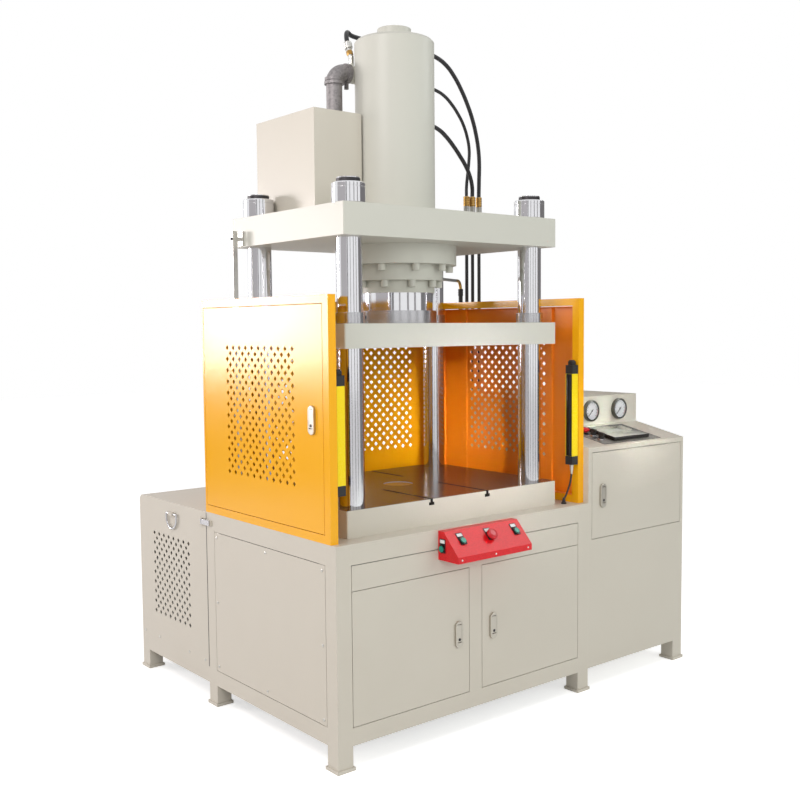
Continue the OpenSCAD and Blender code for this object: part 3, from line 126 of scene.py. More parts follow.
def linear(red, green, blue):
    """A colour as it looks on screen, from 0 to 255, turned into the light that shaders work with."""
    def light(level):
        level = level / 255
        return level / 12.92 if level <= 0.04045 else ((level + 0.055) / 1.055) ** 2.4
    return (light(red), light(green), light(blue), 1)


print("middle grey on screen is", round(linear(128, 128, 128)[0], 3), "of the light of white")

# %% [markdown]
# ## One finish, one material
# `Finish` owns one material, and its methods add the nodes that most finishes share: noise on object
# coordinates, a mix of two colours, bumps, and a mask of the sharp edges. Object coordinates need no unwrapping,
# and they stay with the solid when it moves.


# %% Finishes
class Finish:
    """One material, built round the Principled shader."""

    def __init__(self, name, **constants):
        self.material = bpy.data.materials.new(name)
        self.material.use_nodes = True
        self.tree = self.material.node_tree
        self.shader = self.tree.nodes["Principled BSDF"]
        for words, value in constants.items():
            self.shader.inputs[words.replace("_", " ").title().replace("Ior", "IOR")].default_value = value

    def node(self, kind, settings=None, sockets=None, output=0):
        """Adds a node, sets it up, fills or links its sockets, and returns one of its outputs."""
        node = self.tree.nodes.new(kind)
        for key, value in (settings or {}).items():
            setattr(node, key, value)
        for key, value in (sockets or {}).items():
            self.feed(self.find(node.inputs, key), value)
        return Value(self, self.find(node.outputs, output))

    @staticmethod
    def find(sockets, key):
        if isinstance(key, int):
            return sockets[key]
        return next(s for s in sockets if key in (s.identifier, s.name))

    def feed(self, socket, value):
        if isinstance(value, Value):
            self.tree.links.new(value.socket, socket)
        else:
            socket.default_value = value

    def set(self, name, value):
        self.feed(self.shader.inputs[name], value)

    def calculate(self, operation, *values):
        return self.node("ShaderNodeMath", {"operation": operation}, dict(enumerate(values)))

    def place(self):
        return self.node("ShaderNodeTexCoord", output="Object")

    def stretched(self, scale):
        """Object coordinates, stretched along each axis."""
        return self.node("ShaderNodeMapping", {}, {"Vector": self.place(), "Scale": scale})

    def axes(self):
        point = self.place()
        return [self.node("ShaderNodeSeparateXYZ", {}, {0: point}, axis) for axis in "XYZ"]

    def noise(self, scale, detail=3.0, vector=None):
        return self.node("ShaderNodeTexNoise", {}, {
            "Vector": vector or self.place(), "Scale": scale, "Detail": detail}, "Fac")

    def mix(self, share, low, high):
        """A colour between two colours."""
        return self.node("ShaderNodeMix", {"data_type": "RGBA"}, {
            "Factor_Float": share, "A_Color": low, "B_Color": high}, "Result_Color")

    def relief(self, height, depth, strength=1.0, edge=0.0):
        """Bumps of a height field, on edges that are softened by a small radius."""
        sockets = {"Height": height, "Distance": depth, "Strength": strength}
        if edge:
            sockets["Normal"] = self.soft_edge(edge)
        self.set("Normal", self.node("ShaderNodeBump", {}, sockets))

    def soft_edge(self, radius):
        return self.node("ShaderNodeBevel", {"samples": 4}, {"Radius": radius})

    def edge(self, radius):
        """About 1 along sharp edges and 0 on flat faces."""
        flat = self.node("ShaderNodeNewGeometry", output="Normal")
        match = self.node("ShaderNodeVectorMath", {"operation": "DOT_PRODUCT"}, {
            0: self.soft_edge(radius), 1: flat}, "Value")
        return ((1 - match) * 6.0).clamp()


def dress(finish, *nodes):
    """Gives CAD nodes a finish."""
    for name in nodes:
        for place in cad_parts[name].material_slots:
            place.material = finish.material
    print(finish.material.name, "on", len(nodes), "solids")


print("solids to dress:", len(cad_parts))

# %% [markdown]
# ## Sheet metal paint
# The base, hood, tank and cabinet are sprayed in a warm cream, and the heavy castings in a cooler enamel. One flat
# colour would do for a drawing, but sprayed paint clouds a little from pass to pass and shows a fine orange peel in
# its gloss. Two tints are mixed by a slow noise, and an edge mask paints a pale third one on as a highlight along
# edges.


# %% Sprayed paint
def sprayed(name, colour, pale, dark, rough, peel=0.0004, ior=1.45, coat=0.10):
    """Sprayed paint that clouds between two tints, with a pale highlight painted along its edges."""
    rounding = 0.0012
    paint = Finish(name, ior=ior, coat_roughness=0.12)
    cloud = paint.noise(2.6, 4)
    speck = paint.noise(240, 2)
    tint = paint.mix(cloud, dark, colour)
    # The edge mask paints the pale tint on as a highlight along the edges.
    paint.set("Base Color", paint.mix(paint.edge(rounding) * 0.55, tint, pale))
    paint.set("Roughness", rough + (cloud - 0.5) * 0.10 + (speck - 0.5) * 0.06)
    paint.set("Coat Weight", coat + (cloud - 0.5) * 0.08)
    paint.relief(paint.noise(430, 2), peel, 0.25, rounding)
    return paint


# Each paint's pale colour is the highlight painted along its edges.
CREAM, CREAM_SHADE = linear(210, 204, 192), linear(204, 197, 184)
cream = sprayed("cream_paint", CREAM, linear(226, 222, 212), CREAM_SHADE, 0.40)
enamel = sprayed("cream_enamel", linear(209, 208, 199), linear(225, 225, 217), linear(204, 203, 193), 0.42,
                 peel=0.0003, coat=0.06)
grey = sprayed("grey_paint", linear(128, 131, 130), linear(160, 162, 160), linear(112, 114, 113), 0.42)
dress(cream, "base_legs", "base_rails", "deck_plate", "side_panel", "front_door_left", "front_door_right",
      "prefill_tank", "control_cabinet", "cabinet_door", "rear_hood")
dress(enamel, "crown", "platen", "cylinder_barrel", "cylinder_head", "flange_bolts")
dress(grey, "ejector_cylinder", "oil_tank", "power_pack")

# %% [markdown]
# ## Guard paint
# The guards are powder coated in a glossy amber, so the leaf mirrors the window along its top. The fixed panel on
# the right is the same amber, but it gets a redder copy of the paint: painted shade and bounce light from the amber
# round it. The bars of the light curtain are a clear yellow.

# %% Guard paint
# The second colour of each guard paint is its pale highlight, painted along its edges.
amber = sprayed("amber_paint", linear(252, 184, 22), linear(255, 204, 66), linear(248, 175, 14), 0.22, ior=1.40)
# A redder copy of the amber for the fixed panel: its colour paints in shade and the light that the amber round it
# bounces.
orange = sprayed("amber_with_painted_bounce_shade", linear(252, 146, 34), linear(255, 170, 66), linear(247, 134, 22), 0.34, ior=1.5)
yellow = sprayed("curtain_yellow", linear(253, 226, 20), linear(255, 238, 90), linear(247, 214, 8), 0.28,
                 peel=0.0003)
dress(amber, "guard_left", "guard_right", "guard_door_left", "guard_back")
dress(orange, "guard_panel_right")
dress(yellow, "light_curtains")

# %% [markdown]
# ## Hammer paint
# The two-hand box has a red hammer finish: the paint draws itself into pebbles a few millimetres wide as it dries.
# Noise would give soft clouds. A smooth Voronoi gives rounded cells, which is what pebbles are, and the same cells
# drive the colour, the gloss and the bumps.

# %% Hammer paint
red = Finish("red_hammer_paint", ior=1.42, coat_roughness=0.15)
pebble = red.node("ShaderNodeTexVoronoi", {"feature": "SMOOTH_F1"}, {"Vector": red.place(), "Scale": 260.0},
                  "Distance")
red.set("Base Color", red.mix((pebble * 1.4).clamp(), linear(232, 22, 34), linear(204, 8, 20)))
red.set("Roughness", 0.30 + pebble * 0.18)
red.set("Coat Weight", 0.08 + pebble * 0.3)
red.relief(pebble, 0.0009, 0.85, 0.0012)
dress(red, "control_box")

# %% [markdown]
# ## Chrome and turned steel
# The columns, their nuts and the ram are hard chromed and polished, so they mirror the room with only faint
# grinding lines round them. Turned parts keep more of the lathe's rings. Both are the same metal with another
# roughness: a noise that is squeezed along Z becomes rings, with no texture to unwrap.


# %% Polished metal
def polished(name, colour, rough, lines):
    """Polished metal with fine grinding lines round an upright axis."""
    metal = Finish(name, metallic=1.0)
    rings = metal.noise(1.0, 3, metal.stretched((6, 6, lines)))
    smear = metal.noise(9, 3)
    metal.set("Base Color", metal.mix(smear, colour, [0.93 * c for c in colour[:3]] + [1]))
    metal.set("Roughness", rough + rings * 0.06 + smear * 0.03)
    metal.relief(rings, 0.00008, 0.2, 0.0008)
    return metal


chrome = polished("hard_chrome", linear(232, 232, 235), 0.05, 900)
turned = polished("turned_steel", linear(205, 205, 208), 0.20, 1500)
dress(chrome, "columns", "column_nuts", "ram")
dress(turned, "hinge_pins", "guide_collars", "ram_flange", "ejector", "lifting_ring_left",
      "lifting_ring_right", "draw_latch_left")

# %% [markdown]
# ## Plated metal
# Screws, latches and sleeves are plated or blackened. The gauge bezels are bright plated too, but their colour is
# darkened to paint in the dark things that they mirror and the shade inside them. A plated skin is cloudy: it has
# two tints, and it is rougher where it is paler. One helper makes all of them, with a cloud of the size that each
# metal shows.


# %% Plated metal
def plated(name, colour, shade, cloud_scale, rough, uneven, bump=0.0, metallic=1.0):
    """Metal with a cloudy skin and an uneven shine."""
    metal = Finish(name, metallic=metallic)
    cloud = metal.noise(cloud_scale, 4)
    metal.set("Base Color", metal.mix(cloud, colour, shade))
    metal.set("Roughness", rough + cloud * uneven)
    if bump:
        metal.relief(cloud, 0.0002, bump, 0.0006)
    return metal


zinc = plated("zinc_plate", linear(196, 196, 196), linear(226, 224, 216), 55, 0.26, 0.18, bump=0.2)
brass = plated("brass", linear(196, 158, 92), linear(158, 118, 62), 70, 0.25, 0.20)
dark_steel = plated("blacked_steel", linear(58, 56, 58), linear(86, 84, 86), 60, 0.34, 0.16, metallic=0.9)
satin = plated("satin_nickel", linear(186, 181, 170), linear(202, 197, 186), 38, 0.26, 0.10, bump=0.15)
# The bezel's dark colour is painted reflection and shade, not the colour of its plating.
bezel_with_painted_reflection = plated("bezel_painted_dark_reflection", linear(92, 93, 88), linear(132, 132, 126), 38, 0.18, 0.10, bump=0.15)
desk_steel = plated("desk_steel", linear(176, 172, 165), linear(192, 188, 181), 38, 0.34, 0.10, bump=0.15)
dress(satin, "latch_front_left", "latch_front_right", "latch_cabinet", "latch_guard")
dress(zinc, "sensor_rail")
dress(desk_steel, "desk_panel")

# %% [markdown]
# ## Pipe and fittings
# The suction pipe is galvanised, and it shows the crystals of its zinc, each in a grey of its own. A Voronoi's cell
# colour gives just that. The hose fittings are one solid of zinc plated steel, but the drop line's nut is brass. A
# mask on its place tells it apart, so the solid needs no second material.

# %% Pipe and fittings
galvanised = Finish("galvanised_iron", metallic=0.75)
crystal = galvanised.node("ShaderNodeTexVoronoi", {}, {"Vector": galvanised.place(), "Scale": 120.0}, "Color")
stain = galvanised.noise(32, 5)
spangle = galvanised.node("ShaderNodeSeparateXYZ", {}, {0: crystal}, 0)
galvanised.set("Base Color", galvanised.mix(
    (spangle * 0.5 + stain * 0.6).clamp(), linear(118, 114, 116), linear(170, 166, 166)))
galvanised.set("Roughness", 0.42 + spangle * 0.14 + stain * 0.1)
galvanised.relief(stain, 0.0006, 0.35, 0.001)
dress(galvanised, "suction_pipe")

NUT_LEFT, NUT_LOW, NUT_HIGH = at(1262, 0, 0).x, 1.700, 1.790
fittings = Finish("plated_fittings", metallic=1.0)
x, _, z = fittings.axes()
in_brass = (x > NUT_LEFT) * (z > NUT_LOW) * (z < NUT_HIGH)
bloom = fittings.noise(55, 4)
plate_tint = fittings.mix(bloom, linear(184, 184, 182), linear(216, 214, 206))
fittings.set("Base Color", fittings.mix(in_brass, plate_tint, linear(212, 172, 96)))
fittings.set("Roughness", 0.24 + bloom * 0.16)
fittings.relief(bloom, 0.0002, 0.2, 0.0006)
dress(fittings, "hose_fittings")

# %% [markdown]
# ## The bolster
# The bolster is one plate with two finishes. Its sides are painted like the frame, and its top and clamping
# slots are ground steel, dark with oil and almost a mirror. Two meshes would need a seam that the plate does not
# have. A mask on the place is enough: 1 on the ground top and in the slots, and 0 on the painted sides. The oil
# film dulls the steel, so the top is not wholly metal to the shader.

# %% Bolster finish
BOLSTER_TOP, TOP_SKIN = 0.900, 0.0008
SLOTS_X, SLOT_HALF, SLOT_DEEP = (501, 791), 0.0142, 0.0255
PAINTED_FRONT, PAINTED_BACK = at(0, 78.6, 0).y, at(0, 837.4, 0).y
OILY = 0.7

ground = Finish("bolster_ground_and_painted")
x, y, z = ground.axes()
top = z > BOLSTER_TOP - TOP_SKIN
in_slots = sum(abs(x - at(middle, 0, 0).x) < SLOT_HALF for middle in SLOTS_X)
inside = in_slots * (z > BOLSTER_TOP - SLOT_DEEP) * (y > PAINTED_FRONT) * (y < PAINTED_BACK)
bare = (top + inside).clamp()
grind = ground.noise(1.0, 3, ground.stretched((700, 14, 14)))
smear = ground.noise(5, 4)
steel_tint = ground.mix(smear, linear(104, 98, 96), linear(132, 126, 122))
paint_tint = ground.mix(ground.noise(2.6, 4), CREAM_SHADE, CREAM)
ground.set("Base Color", ground.mix(bare, paint_tint, steel_tint))
ground.set("Metallic", bare * OILY)
ground.set("Roughness", bare * (0.12 + grind * 0.08 + smear * 0.08) + (1 - bare) * 0.40)
ground.relief(grind, 0.00005, 0.15, 0.0012)
dress(ground, "bolster")

# %% [markdown]
# ## Plastic and rubber
# Buttons are moulded in glossy plastic, knobs and end caps in a matte one with a fine spark-eroded grain, and
# the hoses are black rubber with the faint unevenness that their wrapping leaves. Grain this fine is too small to
# model, so it is a bump from a noise of about a millimetre.


# %% Plastic and rubber finishes
def moulded(name, colour, shade, rough, grain):
    """Moulded plastic with an even grain."""
    plastic = Finish(name, ior=1.49)
    speckle = plastic.noise(900, 2)
    plastic.set("Base Color", plastic.mix(plastic.noise(40, 3), colour, shade))
    plastic.set("Roughness", rough + (speckle - 0.5) * 0.12)
    plastic.relief(speckle, grain, 0.2, 0.0005)
    return plastic


black = moulded("black_plastic", linear(30, 30, 31), linear(42, 42, 43), 0.46, 0.0002)
gloss_black = moulded("gloss_black_plastic", linear(18, 18, 19), linear(24, 24, 25), 0.16, 0.00003)
red_plastic = moulded("red_plastic", linear(205, 24, 38), linear(190, 18, 32), 0.24, 0.00005)
green_plastic = moulded("green_plastic", linear(22, 150, 128), linear(16, 134, 116), 0.26, 0.00005)
white_plastic = moulded("white_legend", linear(238, 240, 240), linear(228, 230, 230), 0.35, 0.00005)

rubber = Finish("hose_rubber", ior=1.5)
wrap = rubber.noise(420, 2)
rubber.set("Base Color", rubber.mix(rubber.noise(30, 3), linear(24, 24, 26), linear(44, 43, 45)))
rubber.set("Roughness", 0.42 + wrap * 0.14)
rubber.relief(wrap, 0.0004, 0.3)

dress(black, "curtain_brackets", "selector_front", "selector_back", "gauge_needle_left", "gauge_needle_right",
      "gauges")
dress(rubber, "riser_tubes", "hose_top", "hose_upper", "hose_lower", "curtain_cable")
dress(red_plastic, "control_estop", "cabinet_estop")
dress(green_plastic, "green_button_left", "green_button_right", "side_button")
print("finishes:", len([m for m in bpy.data.materials if m.users]))

# %% [markdown]
# ## Hoses and the cable
# Three hoses bring the oil from the risers to the cylinder, and a thin cable feeds the light curtain. A hose could
# be a swept mesh, but a curve with a round bevel keeps its thickness in every bend. The routes are those of the CAD
# solids, in millimetres, apart from a few millimetres in the top hose's first bend, which is a little wider. Blender
# sets the Bezier handles so that the line runs smoothly through the points.


# %% Hoses
def hose(name, node, diameter, points):
    """A flexible line along a route, which stands for a CAD node."""
    curve = bpy.data.curves.new(name, "CURVE")
    curve.dimensions = "3D"
    curve.bevel_depth = diameter / 2
    curve.bevel_resolution = 5
    curve.resolution_u = 6
    curve.use_fill_caps = True
    spline = curve.splines.new("BEZIER")
    spline.bezier_points.add(len(points) - 1)
    for knot, point in zip(spline.bezier_points, points):
        knot.co = at(*point)
        knot.handle_left_type = knot.handle_right_type = "AUTO"
    line = bpy.data.objects.new(name, curve)
    bpy.context.collection.objects.link(line)
    curve.materials.append(rubber.material)
    bpy.context.view_layer.update()
    knots = spline.bezier_points
    for a, b in zip(knots, knots[1:]):
        steps = interpolate_bezier(a.co, a.handle_right, b.handle_left, b.co, 9)
    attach(line, "machine")
    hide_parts(node)


hose("top_hose", "hose_top", 0.019, [
    (517, 600, 2696), (519.9, 608.7, 2714.5), (526.8, 619.5, 2730.6), (537.1, 632, 2743.4),
    (550.3, 645.2, 2752.1), (565.5, 658.6, 2756.2), (601, 691, 2760), (646, 712, 2763), (704, 726, 2766),
    (770, 733, 2768), (840, 735, 2768), (910, 733, 2768), (980, 729, 2767), (1050, 726, 2764),
    (1115, 729, 2754), (1180, 738, 2730), (1235, 748, 2692), (1285, 757, 2642), (1330, 765, 2584),
    (1368, 772, 2522), (1396, 777, 2456), (1414, 780, 2388), (1422, 782, 2318), (1420, 782, 2236),
    (1417, 781, 2160)])
hose("upper_hose", "hose_upper", 0.015, [
    (812, 624, 2560), (846, 646, 2570), (890, 658, 2584), (945, 666, 2595), (1010, 677, 2600),
    (1075, 692, 2598), (1140, 711, 2586), (1205, 733, 2560), (1262, 753, 2526), (1312, 772, 2486),
    (1346, 785, 2440), (1366, 792, 2384), (1370, 799, 2322), (1360, 798, 2258), (1346, 790, 2204),
    (1340, 784, 2160)])
hose("lower_hose", "hose_lower", 0.019, [
    (812, 624, 2390), (850, 644, 2404), (900, 652, 2420), (960, 658, 2431), (1020, 667, 2434),
    (1080, 680, 2424), (1140, 699, 2402), (1200, 720, 2372), (1258, 740, 2336), (1308, 753, 2294),
    (1346, 764, 2248), (1368, 774, 2204), (1374, 780, 2160)])
hose("sensor_cable", "curtain_cable", 0.008, [
    (1253, 49, 965), (1253, 49, 940), (1251, 49, 915), (1246, 50, 888), (1238, 53, 862),
    (1229, 57, 838), (1221, 60, 820), (1218, 60, 806)])

# %% [markdown]
# ## Modelling by hand: blocks and turned forms
# The small fittings are modelled as with a mouse, each one drawn once round the origin in millimetres, looking up
# +Z. They start as one of two forms. A block is a cube brought to its size. A turned form is a disc that is extruded
# and scaled from step to step, the way a lathe follows a profile.

# %% Blocks and turned forms
SMOOTH_BELOW = math.radians(32)


def block(width, length, height, low=0.0):
    """A block on the Z axis that starts at a height."""
    bpy.ops.object.select_all(action="DESELECT")
    bpy.ops.mesh.primitive_cube_add(size=0.001)
    bpy.ops.object.mode_set(mode="EDIT")
    bpy.ops.transform.resize(value=(width, length, height))
    bpy.ops.transform.translate(value=(0, 0, (low + height / 2) / 1000))
    bpy.ops.object.mode_set(mode="OBJECT")
    return bpy.context.object


def turned_form(steps, sides=48):
    """A turned piece through pairs of radius and height, closed at both ends."""
    bpy.ops.object.select_all(action="DESELECT")
    bpy.ops.mesh.primitive_circle_add(vertices=sides, radius=steps[0][0] / 1000, fill_type="NGON")
    bpy.ops.object.mode_set(mode="EDIT")
    bpy.ops.mesh.select_mode(type="FACE")
    bpy.ops.mesh.select_all(action="SELECT")
    bpy.ops.transform.translate(value=(0, 0, steps[0][1] / 1000))
    for (wide, low), (next_wide, high) in zip(steps, steps[1:]):
        growth = next_wide / wide
        bpy.ops.mesh.extrude_region_move(TRANSFORM_OT_translate={"value": (0, 0, (high - low) / 1000)})
        bpy.ops.transform.resize(value=(growth, growth, 1), center_override=(0, 0, high / 1000))
    bpy.ops.mesh.select_all(action="SELECT")
    bpy.ops.mesh.normals_make_consistent(inside=False)
    bpy.ops.object.mode_set(mode="OBJECT")
    bpy.ops.object.shade_smooth_by_angle(angle=SMOOTH_BELOW)
    return bpy.context.object


print("forms to start from:", block.__name__, turned_form.__name__)

# %% [markdown]
# ## Modelling by hand: edits
# A form becomes a fitting by edits: faces are picked by where they are and where they look, then inset, raised,
# bridged or cut. Picking by a test, and not by an index, still finds the right faces when a size changes.


# %% Edits
def only(*pieces):
    """Selects these pieces and nothing else, the last one active."""
    bpy.ops.object.select_all(action="DESELECT")
    for piece in pieces:
        piece.select_set(True)
    bpy.context.view_layer.objects.active = pieces[-1]


def pick(piece, want):
    """Goes into edit mode with the faces selected whose middle and normal pass a test."""
    only(piece)
    bpy.ops.object.mode_set(mode="EDIT")
    bpy.ops.mesh.select_mode(type="FACE")
    bpy.ops.mesh.select_all(action="DESELECT")
    shell = bmesh.from_edit_mesh(piece.data)
    for face in shell.faces:
        face.select_set(bool(want(face.calc_center_median() * 1000, face.normal)))
    bmesh.update_edit_mesh(piece.data)


def step_top(piece, border, lift):
    """Insets the top by a border, then raises or sinks it."""
    pick(piece, lambda middle, normal: normal.z > 0.9)
    bpy.ops.mesh.inset(thickness=border / 1000, depth=0)
    bpy.ops.mesh.extrude_region_move(TRANSFORM_OT_translate={"value": (0, 0, lift / 1000)})
    bpy.ops.object.mode_set(mode="OBJECT")


def open_ring(piece):
    """Takes both end caps off a turned piece and joins their rims into a ring."""
    pick(piece, lambda middle, normal: middle.xy.length < 0.01)
    bpy.ops.mesh.delete(type="ONLY_FACE")
    bpy.ops.mesh.select_mode(type="EDGE")
    bpy.ops.mesh.select_non_manifold()
    bpy.ops.mesh.bridge_edge_loops()
    bpy.ops.mesh.select_all(action="SELECT")
    bpy.ops.mesh.normals_make_consistent(inside=False)
    bpy.ops.object.mode_set(mode="OBJECT")
    bpy.ops.object.shade_smooth_by_angle(angle=SMOOTH_BELOW)
    return piece


def round_edges(piece, width):
    """Rounds every edge that turns by more than 30 degrees."""
    only(piece)
    bevel = piece.modifiers.new("rounding", "BEVEL")
    bevel.width = width / 1000
    bevel.segments = 2
    bevel.limit_method = "ANGLE"
    bpy.ops.object.modifier_apply(modifier=bevel.name)
    bpy.ops.object.shade_smooth_by_angle(angle=SMOOTH_BELOW)
    return piece


def cut(piece, tool):
    """Cuts one form out of another and throws the tool away."""
    only(piece)
    knife = piece.modifiers.new("cut", "BOOLEAN")
    knife.operation = "DIFFERENCE"
    knife.object = tool
    bpy.ops.object.modifier_apply(modifier=knife.name)
    bpy.data.objects.remove(tool)
    return piece


def moved(piece, x, y, z):
    """Shifts a form in edit mode, so that its object stays at the origin."""
    only(piece)
    bpy.ops.object.mode_set(mode="EDIT")
    bpy.ops.mesh.select_all(action="SELECT")
    bpy.ops.transform.translate(value=(x / 1000, y / 1000, z / 1000))
    bpy.ops.object.mode_set(mode="OBJECT")
    return piece


print("edits:", [edit.__name__ for edit in (pick, step_top, open_ring, round_edges, cut, moved)])

# %% [markdown]
# ## Modelling by hand: placing
# A fitting that repeats is modelled once. It is copied to its places, and the copies are joined into one piece that
# rides on one body. A place is a frame whose Z looks out of the surface, so the same screw fits on any side.

# %% Placing
LEFT, FRONT, RIGHT, BACK = (-1, 0, 0), (0, -1, 0), (1, 0, 0), (0, 1, 0)
UP, DOWN = (0, 0, 1), (0, 0, -1)


def facing(point, outward, up=UP):
    """A frame at a point of the machine, its Z outwards and its Y as near to up as it can be."""
    z = Vector(outward).normalized()
    x = Vector(up).cross(z).normalized()
    return Matrix.Translation(at(*point)) @ Matrix((x, z.cross(x), z)).transposed().to_4x4()


def settle(model, places, name, finish, body="machine"):
    """Copies a model to its places, joins the copies and lets them ride on a body."""
    copies = []
    for place in places:
        copy = model.copy()
        copy.data = model.data.copy()
        bpy.context.collection.objects.link(copy)
        copy.matrix_world = place
        copies.append(copy)
    bpy.data.objects.remove(model)
    only(*copies)
    if len(copies) > 1:
        bpy.ops.object.join()
    bpy.ops.object.transform_apply(location=True, rotation=True, scale=True)
    piece = bpy.context.object
    piece.name = name
    piece.data.materials.clear()
    piece.data.materials.append(finish.material)
    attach(piece, body)
    print(name, len(places), "copies,", len(piece.data.polygons), "faces")


BASE_RIGHT, HOOD_BACK, CABINET_RIGHT = 1304, 1540, 1962
PRESS_X, PRESS_Y = 646, 458
print("press axis:", [round(v, 3) for v in at(PRESS_X, PRESS_Y, 0)])

# %% [markdown]
# ## Screws
# The side panel, the hood and the two-hand box are held by round-headed socket screws. One head is a turned profile
# of rim, dome and a socket sunk into the dome. Nobody sees the thread, so it is left out. Where the hood meets the
# base, a thin black strip paints the shade in their seam as an upright line between them.

# %% Screws and the shade in the hood's seam
SCREW = [(5.6, 0), (5.6, 1.2), (4.7, 2.5), (2.7, 3.1), (2.4, 1.4)]


def screw_head(size=1.0):
    return turned_form([(radius * size, height * size) for radius, height in SCREW], 20)


panel_spots = [(y, z) for y in (84, 828) for z in (172, 438, 704)] + [(456, 172), (456, 704)]
settle(screw_head(), [facing((0, y, z), LEFT) for y, z in panel_spots], "panel_screws", zinc)
hood_low = 172
hood_sides = (944, 1085, 1367, 1510)
hood_spots = [facing((0, y, hood_low), LEFT) for y in hood_sides]
hood_spots += [facing((BASE_RIGHT, y, hood_low), RIGHT) for y in hood_sides]
hood_spots += [facing((x, HOOD_BACK, hood_low), BACK) for x in (60, 356, 652, 948, 1244)]
settle(screw_head(), hood_spots, "hood_screws", zinc)
# A thin black strip that paints the shade in the seam between hood and base.
seam_shade_strip = round_edges(block(3.6, 642, 0.7, 0.05), 0.2)
settle(seam_shade_strip, [facing((0, 912, 474), LEFT)], "hood_seam_shade", black)
box_spots = [facing((x, -110, 699), FRONT) for x in (484, 655, 826)]
settle(screw_head(0.62), box_spots, "box_screws", white_plastic)

# %% [markdown]
# ## Push buttons and their legends
# Each push button stands in a black collar, in front of a blank legend plate with a white label field. The plate
# is a bevelled block with a round hole cut for the collar, because the button moves through it. The collar is a
# turned ring that slips over the one on the box. It stays just below the mushroom, which comes down on it.

# %% Legends and collars
BOX_LEFT, BOX_WIDE = 464, 382
COLLAR = [(15.2, 0), (15.5, 0.4), (15.5, 5.1), (14.7, 6.3), (11.9, 6.3), (11.3, 6.05), (11.3, 5.0)]
lean = math.atan2(84, 80)
slope_out, slope_up = (0, -math.sin(lean), math.cos(lean)), (0, math.cos(lean), math.sin(lean))
button_spots = [facing((BOX_LEFT + BOX_WIDE * share, -66.2, 757.1), slope_out, slope_up)
                for share in (0.16, 0.53, 0.89)]
button_spots.append(facing((BOX_LEFT, -25, 731), LEFT))

plate = moved(round_edges(block(31, 52, 1.8), 0.6), 0, 11, 0)
plate = cut(plate, turned_form([(15.3, -2), (15.3, 4)], 40))
settle(plate, button_spots, "legend_plates", black)
field = moved(round_edges(block(25, 13, 0.7, 1.7), 0.3), 0, 27, 0)
settle(field, button_spots, "legend_fields", white_plastic)
settle(open_ring(turned_form(COLLAR)), button_spots, "button_collars", gloss_black)

# %% [markdown]
# ## The operator's screen
# The screen is a black frame round a sheet of pale glass, on a steel plate that a gasket seals into the desk. The
# frame is a block over the CAD one: its top is inset to the width of the frame and sunk, which leaves a sharp inner
# edge, and the sheet lies in it as a piece of its own. The gasket is a block with a smaller block cut out.

# %% Screen and gasket
DESK_FRONT_Z = 1033
tilt = math.atan2(57, 269)
desk_out, desk_up = (0, -math.sin(tilt), math.cos(tilt)), (0, math.cos(tilt), math.sin(tilt))


def on_desk(x, along):
    """A place on the sloping desk, from its front left corner."""
    point = (BASE_RIGHT + x, along * math.cos(tilt), DESK_FRONT_Z + along * math.sin(tilt))
    return facing(point, desk_out, desk_up)


screen_place = on_desk(226 + 119, 48 + 80)
screen_frame = block(239.4, 161.4, 15.4)
step_top(screen_frame, 3.6, -1.0)
settle(round_edges(screen_frame, 1.2), [screen_place], "screen_frame", gloss_black)
screen_glass = Finish("screen_glass", ior=1.52, roughness=0.06, coat_weight=0.6, coat_roughness=0.03)
haze = screen_glass.noise(9, 3)
screen_glass.set("Base Color", screen_glass.mix(haze, linear(178, 180, 172), linear(190, 192, 184)))
sheet = round_edges(block(231.6, 153.6, 0.8, 14.3), 0.3)
settle(sheet, [screen_place], "screen_sheet", screen_glass)
gasket = cut(block(391, 226, 0.9, 0.05), block(384, 219, 4, -1))
settle(round_edges(gasket, 0.2), [on_desk(322.5, 133)], "desk_gasket", black)

# %% [markdown]
# ## The desk's switches
# Beside the screen stand a mushroom button and two selector switches. The button has the same collar as those on
# the box, and the selectors have bright turned rings. A blank black plate above each stands for its legend.

# %% Switch rings and legends
SELECTOR_RING = [(15.2, 0), (15.8, 0.4), (15.8, 4.6), (14.6, 6.4), (12.6, 6.4), (12.4, 5.8)]
stop_place = on_desk(182, 182)
selector_places = [on_desk(172, 80), on_desk(182, 134)]
settle(open_ring(turned_form(COLLAR)), [stop_place], "desk_stop_collar", gloss_black)
settle(open_ring(turned_form(SELECTOR_RING)), selector_places, "selector_rings", turned)
desk_legend = moved(round_edges(block(36, 16, 1.2), 0.4), 0, 27, 0)
settle(desk_legend, selector_places + [stop_place], "desk_legends", black)

# %% [markdown]
# ## Pressure gauges
# A gauge is a turned bezel, a white dial, the CAD needle and a glass. The dial's marks could be a picture, but maths
# paints them sharp at any size: the angle round the centre is cut into ten parts and fifty parts, and a mark is dark
# where the distance to the nearest cut is small. The last fifth of the scale has a red band.

# %% Gauges
BEZEL = [(47.3, 0.2), (49.0, 0.6), (49.0, 13), (48.0, 16.4), (45.5, 18.2), (42.5, 17.6), (40.9, 15.6), (40.3, 12.4)]
gauge_centres = [(BASE_RIGHT + x, 269, 1156) for x in (323, 522)]
gauge_spots = [facing(centre, FRONT) for centre in gauge_centres]
settle(open_ring(turned_form(BEZEL)), gauge_spots, "gauge_bezels", bezel_with_painted_reflection)


